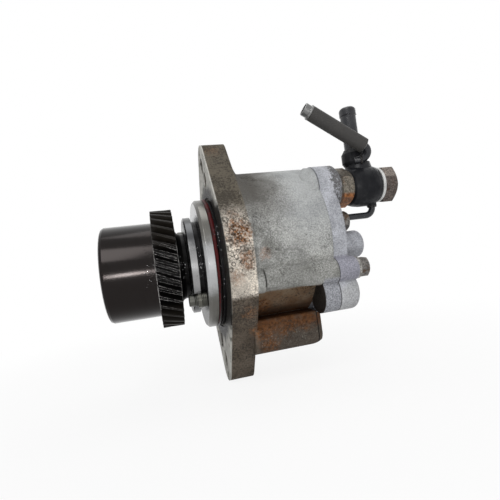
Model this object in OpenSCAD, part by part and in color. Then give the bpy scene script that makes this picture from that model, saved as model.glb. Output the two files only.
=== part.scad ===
// Gear-driven external gear pump with a flanged cast body, a helical drive
// gear on an overhung shaft, and a banjo inlet fitting with two pipes.
// The shaft lies along X: the drive end points to -X and the rear cover to +X.
// Z runs up the long axis of the mounting flange. The origin is the centre of
// the pilot on the flange's mounting face. Lengths are in millimetres.

/* [Mounting flange] */
// diameter of the machined pilot ring
pilot_d = 100; // [96:0.5:102]
// thickness of the flange
flange_t = 19; // [16:0.5:22]
// radius of the round middle of the flange
flange_r = 64; // [62:0.5:66]
// distance from the shaft to the tip of each ear
ear_reach = 94.5; // [93:0.5:98]
// radius of the rounded end of each ear
ear_r = 17; // [15:0.5:18]
// diameter of the four fixing holes
fixing_d = 13.5; // [11:0.5:14]

/* [Housing] */
// radius of the round barrel
barrel_r = 59; // [58:0.5:61]
// height of the barrel's middle above the shaft
barrel_up = 9; // [8:0.5:10]
// distance from the mounting face to the rear joint
body_end = 77; // [75:0.5:80]
// thickness of the cover's band
band_t = 11; // [10:0.5:14]
// nominal thread of the cover bolts
bolt_d = 8; // [6:1:8]

/* [Drive gear] */
// number of helical teeth
drive_teeth = 37; // [35:1:38]
// module of the helical teeth, square to the tooth
drive_module = 2.1167; // [2.0:0.01:2.15]
// helix angle of the teeth, right-handed
helix_angle = 24; // [15:1:28]
// width of the toothed rim
drive_width = 15.6; // [13:0.2:17]
// radius of the long ground hub in front of the teeth
hub_r = 36; // [34:0.5:37]
// length of that hub
hub_len = 36.5; // [30:0.5:40]

/* [Pump gears] */
// teeth on each of the two pump gears
pump_teeth = 12; // [12:1:13]
// module of the pump gears
pump_module = 3; // [2.6:0.1:3]
// width of the pump gears
pump_width = 26; // [22:0.5:28]
// running gap between the tooth tips and the chamber
tip_gap = 0.06; // [0.04:0.01:0.09]

/* [Fitting and pipes] */
// width across the flats of the inlet fitting's hexagons
fitting_af = 27; // [25:0.5:28]
// outer radius of the sleeved return pipe
sleeve_r = 5.6; // [5.3:0.05:6.0]
// outer radius of the suction pipe
suction_r = 6.2; // [5.8:0.1:6.6]
// outer radius of the thin return pipe under the fitting
drain_r = 2.5; // [2.2:0.1:2.8]

/* [Hidden] */
$fn = 96;
eps = 0.02;
fit = 0.02;
// housing derived values
pilot_r = pilot_d / 2;
pilot_x0 = -11.9;
// shallow recess in the mounting face that the pilot ring seats in
pilot_seat = 1;
ear_z = ear_reach - ear_r;
inner_hole = [-10, ear_z - 13.5];
inner_depth = 14;
gasket_t = 0.5;
cover_x = body_end + gasket_t;
band_x = cover_x + band_t;
// a point [y, z] that lies so far inside the barrel's outside, at an angle
function in_barrel(angle, inset) =
    [0, barrel_up] + (barrel_r - inset) * [cos(angle), sin(angle)];
ridge_x0 = 25;
ridge_r = 9;
side_bolt = in_barrel(-25.7, -0.93);
// round boss under the near ear, shared by the body and the cover
lobe = in_barrel(221.8, -4);
lobe_r = 13.4;
lobe_x0 = body_end - 11.7;
lobe_x1 = band_x + 4.4;
// positions of the cover bolts as [y, z]
bolts = [[-side_bolt[0], side_bolt[1]], side_bolt, in_barrel(168.2, 15.1),
         in_barrel(11.8, 15.1), in_barrel(59.2, 10.1), in_barrel(-57.5, 3.3)];
bolt_seat = [band_x + 4.5, band_x + 4.5, band_x, band_x, band_x, band_x];
// bearing: races, balls and cage share the space between seat and bore
bearing_r = 31;
bearing_x0 = -15.6;
bearing_w = 16;
seat_r = 15;
bearing_wall = bearing_r - seat_r;
bearing_mid = bearing_x0 + bearing_w / 2;
ball_pitch_r = (bearing_r + seat_r) / 2;
ball_r = 0.2975 * bearing_wall;
inner_land_r = seat_r + 0.275 * bearing_wall;
outer_land_r = bearing_r - 0.275 * bearing_wall;
carrier_bore_r = bearing_r - 5;
// shaft seal, sized by the shaft that it runs on
seal_lip_r = seat_r + 2.53;
seal_r = seat_r + 10;
cage_half_w = ball_r + 0.64;
retainer_r = bearing_r + 6.4;
retainer_screw_r = bearing_r + 6.8;
dowels = [[-10, -38], [40, 38]];
// drive gear derived values
drive_x1 = -28.9;
drive_x0 = drive_x1 - drive_width;
hub_x0 = drive_x0 - hub_len;
hub_back = -22;
recess_r = 24;
recess_x = -57;
transverse = drive_module / cos(helix_angle);
drive_pitch_r = drive_teeth * transverse / 2;
drive_tip_r = drive_pitch_r + drive_module;
drive_root_r = drive_pitch_r - 1.25 * drive_module;
drive_twist = drive_width * tan(helix_angle) / drive_pitch_r * 180 / PI;
// pump gear derived values
pump_pitch_r = pump_teeth * pump_module / 2;
pump_tip_r = pump_pitch_r + pump_module;
pump_root_r = pump_pitch_r - 1.25 * pump_module;
centres = 2 * pump_pitch_r;
chamber_r = pump_tip_r + tip_gap;
chamber_x0 = 27;
suction_z = centres * 0.75;
pump_x0 = chamber_x0 + (body_end - chamber_x0 - pump_width) / 2;
pump_x1 = pump_x0 + pump_width;
journal_r = 11;
idler_r = 9;
// inlet fitting derived values, centre line at [y, z]
inlet = in_barrel(130.7, 11.5);
inlet_boss_r = 18;
inlet_end = cover_x + 18.7;
adaptor_end = inlet_end + 11.3;
banjo_x0 = adaptor_end + 1.1;
banjo_x1 = banjo_x0 + 24.6;
banjo_r = 16.2;
head_x = banjo_x1 + 2.2;
head_t = 10.3;
neck_x = banjo_x0 + 9.8;
neck_r = 9.4;
neck_z = inlet[1] + banjo_r - 2;
neck_top = neck_z + 15;
suction_top = inlet[1] + 63.4;
// drain pipe
drain_z = inlet[1] - 23.6;
drain_turn = banjo_x1 - 4.6;
drain_bend = 6.6;
// return pipe: the sleeve runs from its upper end to the elbow
pipe_top = [neck_x - 44.8, inlet[0] - 16, inlet[1] + 57.8];
pipe_low = [neck_x + 0.6, inlet[0] - 16, inlet[1] + 27.8];
pipe_r = 4.75;
elbow_tube_r = 3.0;
elbow_r = 6.0;
elbow_angle = 138;
// relief valve in the lower block
valve_x = 46;
valve_r = 6;
valve_rest = -31;
spool_len = 18;
plug_len = 10;
block_low = -70.5;
block_top = -45;
block_y = 41;
block_x1 = body_end - 6.8;
spring_low = block_low + plug_len + 0.1;
spring_high = valve_rest - spool_len - 0.1;
spring_turns = 5;
wire_r = 0.7;
coil_r = valve_r - wire_r - 0.5;

// ---- shared helpers ------------------------------------------------------

// lays a flat [y, z] outline in the plane x and thickens it towards +X
module plate(x0, x1) {
    translate([x0, 0, 0])
        rotate([90, 0, 90])
            linear_extrude(height = x1 - x0)
                children();
}

// lays a flat [x, z] outline in the plane y and thickens it from y0 to y1
module side_plate(y0, y1) {
    translate([0, y1, 0])
        rotate([90, 0, 0])
            linear_extrude(height = y1 - y0)
                children();
}

// round bar along X
module rod(x0, x1, r, y = 0, z = 0) {
    translate([x0, y, z])
        rotate([90, 0, 90])
            cylinder(h = x1 - x0, r = r);
}

// turned piece about X from a [radius, x] profile
module turned(y = 0, z = 0) {
    translate([0, y, z])
        rotate([90, 0, 90])
            rotate_extrude()
                children();
}

// plain ring along X with small chamfers on the outside
module ring(x0, x1, r_in, r_out, c = 0.4) {
    turned()
        polygon([[r_in, x0], [r_out - c, x0], [r_out, x0 + c],
                 [r_out, x1 - c], [r_out - c, x1], [r_in, x1]]);
}

// hexagonal prism along X with turned corners
module hex_x(x0, x1, af, y = 0, z = 0, turn = 0) {
    corner = af / sqrt(3);
    intersection() {
        translate([x0, y, z])
            rotate([90, 0, 90])
                rotate([0, 0, turn])
                    cylinder(h = x1 - x0, r = corner, $fn = 6);
        turned(y, z)
            polygon([[0, x0 - 1], [corner + 1, x0 - 1],
                     [corner + 1, x1 - (corner + 1.3 - af / 2) * 0.6],
                     [af / 2 - 0.3, x1], [0, x1]]);
    }
}

// filled rectangle [y, z] with rounded corners
module rounded(y0, z0, y1, z1, r) {
    translate([y0 + r, z0])
        square([y1 - y0 - 2 * r, z1 - z0]);
    translate([y0, z0 + r])
        square([y1 - y0, z1 - z0 - 2 * r]);
    for (y = [y0 + r, y1 - r], z = [z0 + r, z1 - r])
        translate([y, z])
            circle(r = r);
}

// the two circles joined by their outer tangents
module belt(a, ra, b, rb) {
    d = norm(b - a);
    heading = atan2(b[1] - a[1], b[0] - a[0]);
    lean = acos((ra - rb) / d);
    translate(a)
        circle(r = ra);
    translate(b)
        circle(r = rb);
    polygon([a + ra * [cos(heading + lean), sin(heading + lean)],
             b + rb * [cos(heading + lean), sin(heading + lean)],
             b + rb * [cos(heading - lean), sin(heading - lean)],
             a + ra * [cos(heading - lean), sin(heading - lean)]]);
}

// ---- involute teeth ------------------------------------------------------

function involute(a) = tan(a) * 180 / PI - a;

// half of the tooth's angle at radius r; thin is taken off each flank
function half_tooth(r, rp, rb, n, thin) =
    90 / n - thin / rp * 180 / PI + involute(acos(rb / rp))
    - involute(acos(rb / max(r, rb)));

function polar(r, a) = [r * cos(a), r * sin(a)];

function tooth_outline(n, rp, r_root, r_tip, pressure, thin, steps, phase) =
    let (rb = rp * cos(pressure),
         radii = [for (k = [0:steps])
                  r_root + (r_tip - r_root) * k / steps])
    [for (i = [0:n - 1])
        let (mid = phase + 360 * i / n)
        each concat(
            [for (k = [0:steps])
             polar(radii[k], mid - half_tooth(radii[k], rp, rb, n, thin))],
            [for (k = [0:steps])
             let (r = radii[steps - k])
             polar(r, mid + half_tooth(r, rp, rb, n, thin))])];

// ---- casting outlines ----------------------------------------------------

module flange_outline() {
    belt([0, 0], flange_r, [0, ear_z], ear_r);
    belt([0, 0], flange_r, [0, -ear_z], ear_r);
}

// one through hole in each ear, and a blind dowel hole inside it
module fixing_holes() {
    for (s = [-1, 1]) {
        rod(-1, flange_t + 30, fixing_d / 2, 0, s * ear_z);
        rod(-1, inner_depth, fixing_d / 2, s * inner_hole[0], s * inner_hole[1]);
    }
}

// bolt boss with a flat underside; side is -1 for the near one, 1 for the far
module ridge_outline(side, r = ridge_r) {
    translate([side * side_bolt[0], side_bolt[1]])
        circle(r = r);
    translate([side * (side_bolt[0] - r) - r, side_bolt[1] - r])
        square(2 * r);
}

// the ridge along the body: its underside drops towards the cover
module ridge(side) {
    intersection() {
        plate(ridge_x0, body_end)
            ridge_outline(side);
        side_plate(-barrel_r - 20, barrel_r + 20)
            polygon([[ridge_x0 - 1, side_bolt[1] + 20], [ridge_x0 - 1, side_bolt[1] - 4],
                     [lobe_x0, side_bolt[1] - ridge_r + 0.4], [body_end + 1, side_bolt[1] - ridge_r + 0.4],
                     [body_end + 1, side_bolt[1] + 20]]);
    }
}

module figure_eight(r) {
    circle(r = r);
    translate([0, centres])
        circle(r = r);
}

// the inlet passage: from the fitting's line down to the suction bore
module inlet_slot() {
    for (z = [suction_z, inlet[1]])
        translate([inlet[0], z])
            circle(r = 6.5);
    translate([inlet[0] - 6.5, suction_z])
        square([13, inlet[1] - suction_z]);
}

// ---- housing -------------------------------------------------------------

module lower_block() {
    x0 = flange_t - 2;
    low = 9;
    turn = 12;
    intersection() {
        // end view: round along the bottom, nearly sharp along the ledge
        plate(x0, block_x1) {
            rounded(-block_y, block_low, block_y, block_top - 6, low);
            rounded(-block_y, block_low + low, block_y, block_top, 1.5);
        }
        // side view: one large round between the bottom and the rear
        side_plate(-60, 60) {
            translate([x0, block_low])
                square([block_x1 - turn - x0, 40]);
            translate([x0, block_low + turn])
                square([block_x1 - x0, 40]);
            translate([block_x1 - turn, block_low + turn])
                circle(r = turn);
        }
        // plan: rounded upright corners
        translate([0, 0, block_low - 1])
            linear_extrude(height = 60) {
                translate([x0, -60])
                    square([block_x1 - 7 - x0, 120]);
                translate([x0, 7 - block_y])
                    square([block_x1 - x0, 2 * block_y - 14]);
                for (s = [-1, 1])
                    translate([block_x1 - 7, s * (block_y - 7)])
                        circle(r = 7);
            }
    }
    // solid wall on the far side round the delivery gallery
    plate(41, 63)
        rounded(18, -50, 40, 6, 4);
}

module flange_fillet() {
    intersection() {
        plate(flange_t - 1, flange_t + 9)
            flange_outline();
        turned(0, barrel_up)
            difference() {
                translate([barrel_r - 3, flange_t - 1])
                    square([10, 8]);
                translate([barrel_r + 7, flange_t + 7])
                    circle(r = 7);
            }
    }
}

module front_body() {
    color([0.62, 0.64, 0.60])
        difference() {
            union() {
                plate(0, flange_t)
                    flange_outline();
                rod(flange_t - 1, body_end, barrel_r, 0, barrel_up);
                flange_fillet();
                for (s = [-1, 1]) {
                    ridge(s);
                    // pad between the flange and the ridge
                    plate(flange_t - 2, ridge_x0 - 0.9)
                        ridge_outline(s, ridge_r - 0.8);
                }
                lower_block();
                rod(lobe_x0, body_end, lobe_r, lobe[0], lobe[1]);
                // half of the inlet boss that the body carries, sloped in front
                turned(inlet[0], inlet[1])
                    polygon([[0, body_end - 9], [inlet_boss_r - 6, body_end - 9],
                             [inlet_boss_r - 0.6, body_end - 4], [inlet_boss_r - 0.6, body_end],
                             [0, body_end]]);
                // outlet boss on the far side of the lower block
                translate([valve_x, 30, -57])
                    rotate([-90, 0, 0])
                        cylinder(h = 16, r = 12.4);
                // pad of the lower rear bolt
                rod(50, body_end, 9.5, bolts[5][0], bolts[5][1]);
            }
            fixing_holes();
            // pilot seat and bore, seal bore and shaft way
            rod(-1, pilot_seat, pilot_r + 1.5);
            rod(-1, 10, pilot_r - 8 + fit);
            rod(9, 18, seal_r + fit);
            rod(17, chamber_x0 + 1, 18.2);
            plate(chamber_x0, body_end + 1)
                figure_eight(chamber_r);
            // suction bore and its mouth at the mesh
            rod(pump_x0 + 4, body_end + 1, 6.5, inlet[0], suction_z);
            plate(pump_x0 + 4, pump_x1 - 4)
                rounded(inlet[0], centres / 2 - 5, -8, centres / 2 + 8, 2);
            // delivery gallery: mouth at the mesh, down to the outlet
            plate(valve_x + 1, valve_x + 11)
                rounded(8, centres / 2 - 5, 34, centres / 2 + 5, 2);
            translate([valve_x + 6, 31, -57])
                cylinder(h = 57 + centres / 2, r = 4.5);
            // outlet port: the way in, the threaded mouth and a spot face
            translate([valve_x, 12, -57])
                rotate([-90, 0, 0])
                    cylinder(h = 20, r = 6);
            translate([valve_x, 29, -57])
                rotate([-90, 0, 0])
                    cylinder(h = 20, r = 8);
            translate([valve_x, 45, -57])
                rotate([-90, 0, 0])
                    cylinder(h = 3, r = 10.5);
            // cross way from the gallery to the valve
            translate([valve_x, 0, -57])
                rotate([-90, 0, 0])
                    cylinder(h = 14, r = 3.5);
            // relief valve bore and plug seat
            translate([valve_x, 0, block_low - 1])
                cylinder(h = valve_rest - block_low + 1.1, r = valve_r + 0.03);
            translate([valve_x, 0, block_low - 1])
                cylinder(h = plug_len + 1, r = 9 + fit);
            // pressure way from the chamber to the spool's head
            translate([valve_x, 0, valve_rest])
                cylinder(h = 20, r = 2);
            // tapped holes of the cover bolts and dowel holes
            for (p = bolts)
                rod(body_end - 18.5, body_end + 1, bolt_d / 2 + fit, p[0], p[1]);
            for (p = dowels)
                rod(body_end - 7.5, body_end + 1, 3 + fit, p[0], p[1]);
        }
}

module cover_outline() {
    translate([0, barrel_up])
        circle(r = barrel_r - 1.2);
    for (s = [-1, 1])
        ridge_outline(s);
    translate(lobe)
        circle(r = lobe_r);
    translate(bolts[5])
        circle(r = 9.5);
}

module rear_cover() {
    color([0.66, 0.66, 0.70])
        difference() {
            union() {
                plate(cover_x, band_x)
                    cover_outline();
                // raised bearing housing behind the two gears
                plate(band_x - 1, band_x + 7.4)
                    belt([0, 0], 19, [0, centres], 17);
                // near and far bolt ears, bevelled at the seat
                for (s = [-1, 1])
                    turned(s * side_bolt[0], side_bolt[1])
                        polygon([[0, cover_x], [ridge_r, cover_x], [ridge_r, bolt_seat[0] - 2],
                                 [ridge_r - 0.9, bolt_seat[0]], [0, bolt_seat[0]]]);
                // round boss under the near ear, its rim rounded
                turned(lobe[0], lobe[1]) {
                    polygon([[0, cover_x], [lobe_r, cover_x], [lobe_r, lobe_x1 - 4],
                             [lobe_r - 4, lobe_x1], [0, lobe_x1]]);
                    translate([lobe_r - 4, lobe_x1 - 4])
                        circle(r = 4);
                }
                // web that joins that boss to the ear
                plate(cover_x, lobe_x1 - 3)
                    translate([lobe[0] - 11, lobe[1] + 2])
                        square([18, side_bolt[1] - lobe[1] - 2]);
                // blind boss, rounded at its end
                turned(-36, 0) {
                    polygon([[0, band_x - 1], [10.5, band_x - 1], [10.5, band_x + 17],
                             [6.5, band_x + 21], [0, band_x + 21]]);
                    translate([6.5, band_x + 17])
                        circle(r = 4);
                }
                // inlet boss
                turned(inlet[0], inlet[1])
                    polygon([[0, cover_x], [inlet_boss_r, cover_x],
                             [inlet_boss_r, inlet_end - 2.5],
                             [inlet_boss_r - 2, inlet_end], [0, inlet_end]]);
                // seat of the thin pipe
                rod(band_x - 1, band_x + 5.5, drain_r + 1, inlet[0], drain_z);
            }
            // blind bores for both shafts
            rod(cover_x - 1, cover_x + 10.5, journal_r + 0.05);
            rod(cover_x - 1, cover_x + 10.5, idler_r + 0.05, 0, centres);
            // inlet: threaded mouth, way in and slot to the body
            rod(inlet_end - 12, inlet_end + 1, 11 + fit, inlet[0], inlet[1]);
            rod(cover_x + 2, inlet_end - 11, 7, inlet[0], inlet[1]);
            plate(cover_x - 1, cover_x + 6.5)
                inlet_slot();
            rod(cover_x + 5.5, band_x + 6.5, drain_r + fit, inlet[0], drain_z);
            // bolts and dowels
            for (p = bolts)
                rod(cover_x - 1, band_x + 8, bolt_d / 2 + 0.25, p[0], p[1]);
            for (p = dowels)
                rod(cover_x - 1, cover_x + 7, 3 + fit, p[0], p[1]);
        }
}

module cover_gasket() {
    color([0.20, 0.20, 0.21])
        difference() {
            plate(body_end + 0.01, cover_x - 0.01)
                cover_outline();
            plate(body_end - 1, cover_x + 1)
                figure_eight(chamber_r + 0.4);
            plate(body_end - 1, cover_x + 1)
                translate([inlet[0], suction_z])
                    circle(r = 6.5);
            for (p = bolts)
                rod(body_end - 1, cover_x + 1, bolt_d / 2 + 0.3, p[0], p[1]);
            for (p = dowels)
                rod(body_end - 1, cover_x + 1, 3.2, p[0], p[1]);
        }
}

// ---- drive end -----------------------------------------------------------

module bearing_carrier() {
    groove = pilot_r - 2.8;
    bore = bearing_r + fit;
    seat = pilot_seat - 0.01;
    color([0.70, 0.71, 0.72])
        difference() {
            turned()
                polygon([[carrier_bore_r, 9.9], [pilot_r - 8, 9.9], [pilot_r - 8, seat],
                         [pilot_r - 0.6, seat],
                         [pilot_r - 0.6, -1.6], [groove, -1.6], [groove, -5],
                         [pilot_r, -5], [pilot_r, pilot_x0 + 1.8],
                         [pilot_r - 1.8, pilot_x0], [bearing_r + 3.5, pilot_x0],
                         [bearing_r + 3, pilot_x0 - 0.5], [bearing_r + 3, bearing_x0 + 0.6],
                         [bearing_r + 2.4, bearing_x0], [bore, bearing_x0],
                         [bore, bearing_x0 + bearing_w + 0.1],
                         [carrier_bore_r, bearing_x0 + bearing_w + 0.1]]);
            for (a = [222, 42])
                rod(bearing_x0 - 1, -3, 2.5 + fit,
                    retainer_screw_r * cos(a), retainer_screw_r * sin(a));
        }
}

module pilot_oring() {
    color([0.42, 0.06, 0.07])
        turned()
            translate([pilot_r - 1.12, -3.3])
                circle(r = 1.65);
}

module bearing_outer_race() {
    x0 = bearing_x0 + 0.05;
    x1 = bearing_x0 + bearing_w;
    color([0.74, 0.75, 0.76])
        turned()
            difference() {
                polygon([[outer_land_r, x0], [bearing_r - 0.6, x0], [bearing_r, x0 + 0.6],
                         [bearing_r, x1 - 0.6], [bearing_r - 0.6, x1], [outer_land_r, x1]]);
                translate([ball_pitch_r, bearing_mid])
                    circle(r = ball_r + 0.09);
            }
}

module bearing_inner_race() {
    x0 = bearing_x0 + 0.05;
    x1 = bearing_x0 + bearing_w;
    color([0.74, 0.75, 0.76])
        turned()
            difference() {
                polygon([[seat_r + fit, x0], [inner_land_r, x0],
                         [inner_land_r, x1], [seat_r + fit, x1]]);
                translate([ball_pitch_r, bearing_mid])
                    circle(r = ball_r + 0.09);
            }
}

module bearing_balls() {
    color([0.82, 0.83, 0.84])
        for (i = [0:8])
            translate([bearing_mid, ball_pitch_r * cos(40 * i), ball_pitch_r * sin(40 * i)])
                sphere(r = ball_r, $fn = 24);
}

module bearing_cage() {
    x0 = bearing_mid - cage_half_w;
    x1 = bearing_mid + cage_half_w;
    color([0.72, 0.58, 0.30])
        difference() {
            turned()
                polygon([[ball_pitch_r - 1.4, x0], [ball_pitch_r + 1.4, x0],
                         [ball_pitch_r + 1.4, x1], [ball_pitch_r - 1.4, x1]]);
            for (i = [0:8])
                rotate([40 * i, 0, 0])
                    translate([bearing_mid, ball_pitch_r - 4, 0])
                        rotate([-90, 0, 0])
                            cylinder(h = 8, r = ball_r + 0.19);
        }
}

module retainer_ring() {
    x0 = bearing_x0 - 5.6;
    x1 = bearing_x0 - 0.05;
    seat = bearing_x0 - 2.6;
    color([0.66, 0.67, 0.68])
        difference() {
            union() {
                turned()
                    polygon([[bearing_r - 4, x0], [retainer_r - 1.5, x0],
                             [retainer_r, x0 + 0.7], [retainer_r, x1], [bearing_r - 4, x1]]);
                for (a = [222, 42])
                    rod(seat, x1, 6, retainer_screw_r * cos(a), retainer_screw_r * sin(a));
            }
            for (a = [222, 42]) {
                rod(bearing_x0 - 9, seat, 5.4, retainer_screw_r * cos(a), retainer_screw_r * sin(a));
                rod(bearing_x0 - 9, x1 + 1, 2.7, retainer_screw_r * cos(a), retainer_screw_r * sin(a));
            }
        }
}

// cap screws with a spring washer and a plain washer under each head
module retainer_screws() {
    seat = bearing_x0 - 2.6;
    color([0.55, 0.55, 0.56])
        for (a = [222, 42])
            difference() {
                turned(retainer_screw_r * cos(a), retainer_screw_r * sin(a))
                    polygon([[0, seat - 6.4], [3.9, seat - 6.4], [4.25, seat - 6.0],
                             [4.25, seat - 2.4], [3.3, seat - 2.3], [3.3, seat - 2.1],
                             [4.5, seat - 2.0], [4.5, seat - 1.3], [3.4, seat - 1.2],
                             [3.4, seat - 1.0], [4.9, seat - 0.9], [4.9, seat - 0.02],
                             [2.5, seat - 0.02], [2.5, -3.5], [2, -3.1], [0, -3.1]]);
                translate([seat - 7, retainer_screw_r * cos(a), retainer_screw_r * sin(a)])
                    rotate([90, 0, 90])
                        cylinder(h = 3.2, r = 2.3, $fn = 6);
            }
}

module shaft_seal() {
    color([0.13, 0.13, 0.14])
        turned()
            polygon([[seal_lip_r, 12.5], [seal_lip_r + 1.67, 10.6], [seal_r, 10.05],
                     [seal_r, 17.9], [seal_r - 5.6, 17.9],
                     [seal_r - 5.6, 16.6], [seal_r - 2.5, 16.6],
                     [seal_r - 2.5, 13.2], [seal_r - 5.6, 13.2],
                     [seal_lip_r + 0.87, 14.2], [seal_lip_r, 13.3]]);
}

module drive_shaft() {
    color([0.50, 0.50, 0.51])
        difference() {
            turned()
                polygon([[0, -70], [9, -70], [10, -69], [10, recess_x + 1], [12.5, recess_x + 1.6],
                         [12.5, bearing_x0], [seat_r, bearing_x0], [seat_r, 0.45],
                         [19.5, 0.45], [19.5, 4], [17.5, 5], [17.5, chamber_x0 - 0.6],
                         [journal_r, chamber_x0 - 0.2], [journal_r, 86], [journal_r - 1, 87],
                         [0, 87]]);
            // keyways for the drive gear and for the pump gear
            translate([-50, -4, 9])
                cube([22, 8, 8]);
            translate([pump_x0 + 4, -2.5, 8])
                cube([pump_width - 8, 5, 6]);
            // centre holes
            turned()
                polygon([[0, -71], [3, -71], [2.4, -69.5], [0, -66]]);
        }
}

module helical_gear() {
    outline = tooth_outline(drive_teeth, drive_pitch_r, drive_root_r, drive_tip_r,
                            atan(tan(20) / cos(helix_angle)), 0.05, 4, 0);
    core_r = drive_root_r - 1.6;
    color([0.16, 0.15, 0.15])
        difference() {
            union() {
                // the toothed rim: the outline turns as it goes back
                translate([drive_x0, 0, 0])
                    rotate([90, 0, 90])
                        linear_extrude(height = drive_width, twist = -drive_twist,
                                       slices = 4)
                            difference() {
                                polygon(outline);
                                circle(r = core_r - 3, $fn = 48);
                            }
                // core, long front hub and short rear hub as one turned piece
                turned()
                    polygon([[12.5 + fit, hub_x0], [hub_r - 2.2, hub_x0],
                             [hub_r - 0.8, hub_x0 + 0.7], [hub_r, hub_x0 + 2.4],
                             [hub_r, drive_x0 - 0.4], [core_r, drive_x0 - 0.3],
                             [core_r, drive_x1 + 0.3], [core_r - 4, drive_x1 + 0.3],
                             [28.2, drive_x1 + 1.0], [26.2, drive_x1 + 2.4],
                             [25.3, drive_x1 + 4.4], [25.3, hub_back], [inner_land_r - 0.2, hub_back],
                             [inner_land_r - 0.2, bearing_x0 - 0.03],
                             [12.5 + fit, bearing_x0 - 0.03]]);
            }
            // recess for the nut
            turned()
                polygon([[0, hub_x0 - 1], [recess_r + 1.5, hub_x0 - 1],
                         [recess_r, hub_x0 + 1], [recess_r, recess_x], [0, recess_x]]);
            // keyway
            translate([recess_x - 1, -4, 0])
                cube([bearing_x0 - recess_x + 2, 8, 15.8]);
        }
}

module gear_key() {
    color([0.45, 0.45, 0.46])
        translate([-49.9, -3.97, 9.1])
            cube([21.8, 7.94, 6.5]);
}

module lock_washer() {
    color([0.40, 0.40, 0.41])
        difference() {
            turned()
                polygon([[10.05, recess_x - 2.4], [19, recess_x - 2.4],
                         [19, recess_x - 0.03], [10.05, recess_x - 0.03]]);
            for (a = [0:60:300])
                rotate([a, 0, 0])
                    translate([recess_x - 3, 17.2, -1.5])
                        cube([4, 4, 3]);
        }
}

module shaft_nut() {
    nut_x1 = recess_x - 2.45;
    color([0.36, 0.36, 0.38])
        difference() {
            mirror([1, 0, 0])
                hex_x(-nut_x1, -nut_x1 + 10, 30, 0, 0, 8);
            rod(nut_x1 - 11, nut_x1 + 1, 10 + fit);
        }
}

// ---- pumping section -----------------------------------------------------

module pump_teeth_body(phase) {
    plate(pump_x0 + 0.05, pump_x1 - 0.05)
        polygon(tooth_outline(pump_teeth, pump_pitch_r, pump_root_r, pump_tip_r,
                              25, 0.12, 5, phase));
}

module pump_drive_gear() {
    color([0.60, 0.61, 0.62])
        difference() {
            pump_teeth_body(90);
            rod(pump_x0 - 1, pump_x1 + 1, journal_r + fit);
            translate([pump_x0 - 1, -2.5, 0])
                cube([pump_width + 2, 5, 12.6]);
        }
}

module pump_gear_key() {
    color([0.45, 0.45, 0.46])
        translate([pump_x0 + 4.1, -2.47, 8.1])
            cube([pump_width - 8.2, 4.94, 4.3]);
}

module pump_driven_gear() {
    color([0.60, 0.61, 0.62]) {
        translate([0, 0, centres])
            pump_teeth_body(90 + 180 / pump_teeth);
        turned(0, centres)
            polygon([[0, chamber_x0 + 0.6], [idler_r - 0.8, chamber_x0 + 0.6],
                     [idler_r, chamber_x0 + 1.4], [idler_r, 86.2],
                     [idler_r - 0.8, 87], [0, 87]]);
    }
}

// bearing block shared by both shafts
module bush(x0, x1) {
    difference() {
        plate(x0, x1)
            figure_eight(chamber_r - 0.03);
        rod(x0 - 1, x1 + 1, journal_r + 0.05);
        rod(x0 - 1, x1 + 1, idler_r + 0.05, 0, centres);
        // relief slots beside the mesh
        for (s = [-1, 1])
            plate(x0 - 1, x1 + 1)
                translate([s * 11.5, centres / 2])
                    circle(r = 3.2);
    }
}

module front_bush() {
    color([0.71, 0.60, 0.38])
        bush(chamber_x0 + 0.05, pump_x0);
}

module rear_bush() {
    color([0.71, 0.60, 0.38])
        bush(pump_x1, cover_x - 0.05);
}

// ---- fasteners -----------------------------------------------------------

module locating_dowels() {
    color([0.70, 0.70, 0.71])
        for (p = dowels)
            turned(p[0], p[1])
                polygon([[0, body_end - 7], [2.5, body_end - 7], [3, body_end - 6.5],
                         [3, body_end + 6], [2.5, body_end + 6.5], [0, body_end + 6.5]]);
}

module cover_bolts() {
    head_af = bolt_d * 1.625;
    color([0.32, 0.31, 0.30])
        for (i = [0:len(bolts) - 1]) {
            seat = bolt_seat[i] + 1.8;
            rod(body_end - 18, seat + 0.5, bolt_d / 2, bolts[i][0], bolts[i][1]);
            hex_x(seat, seat + bolt_d * 0.9, head_af, bolts[i][0], bolts[i][1], 12 * i + 5);
        }
}

module bolt_washers() {
    color([0.52, 0.51, 0.50])
        for (i = [0:len(bolts) - 1])
            difference() {
                rod(bolt_seat[i] + 0.02, bolt_seat[i] + 1.78, bolt_d, bolts[i][0], bolts[i][1]);
                rod(bolt_seat[i] - 1, bolt_seat[i] + 3, bolt_d / 2 + 0.2,
                    bolts[i][0], bolts[i][1]);
            }
}

// ---- inlet fitting -------------------------------------------------------

module inlet_adaptor() {
    color([0.58, 0.50, 0.38])
        difference() {
            union() {
                hex_x(inlet_end + 0.02, adaptor_end, fitting_af, inlet[0], inlet[1], 37);
                rod(inlet_end - 10.5, inlet_end + 1, 11, inlet[0], inlet[1]);
            }
            rod(inlet_end - 11, adaptor_end + 1, 8.5 + fit, inlet[0], inlet[1]);
        }
}

module inner_washer() {
    color([0.60, 0.40, 0.26])
        difference() {
            rod(adaptor_end + 0.02, banjo_x0 - 0.02, banjo_r - 3.2, inlet[0], inlet[1]);
            rod(adaptor_end - 1, banjo_x0 + 1, 10.2, inlet[0], inlet[1]);
        }
}

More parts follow.
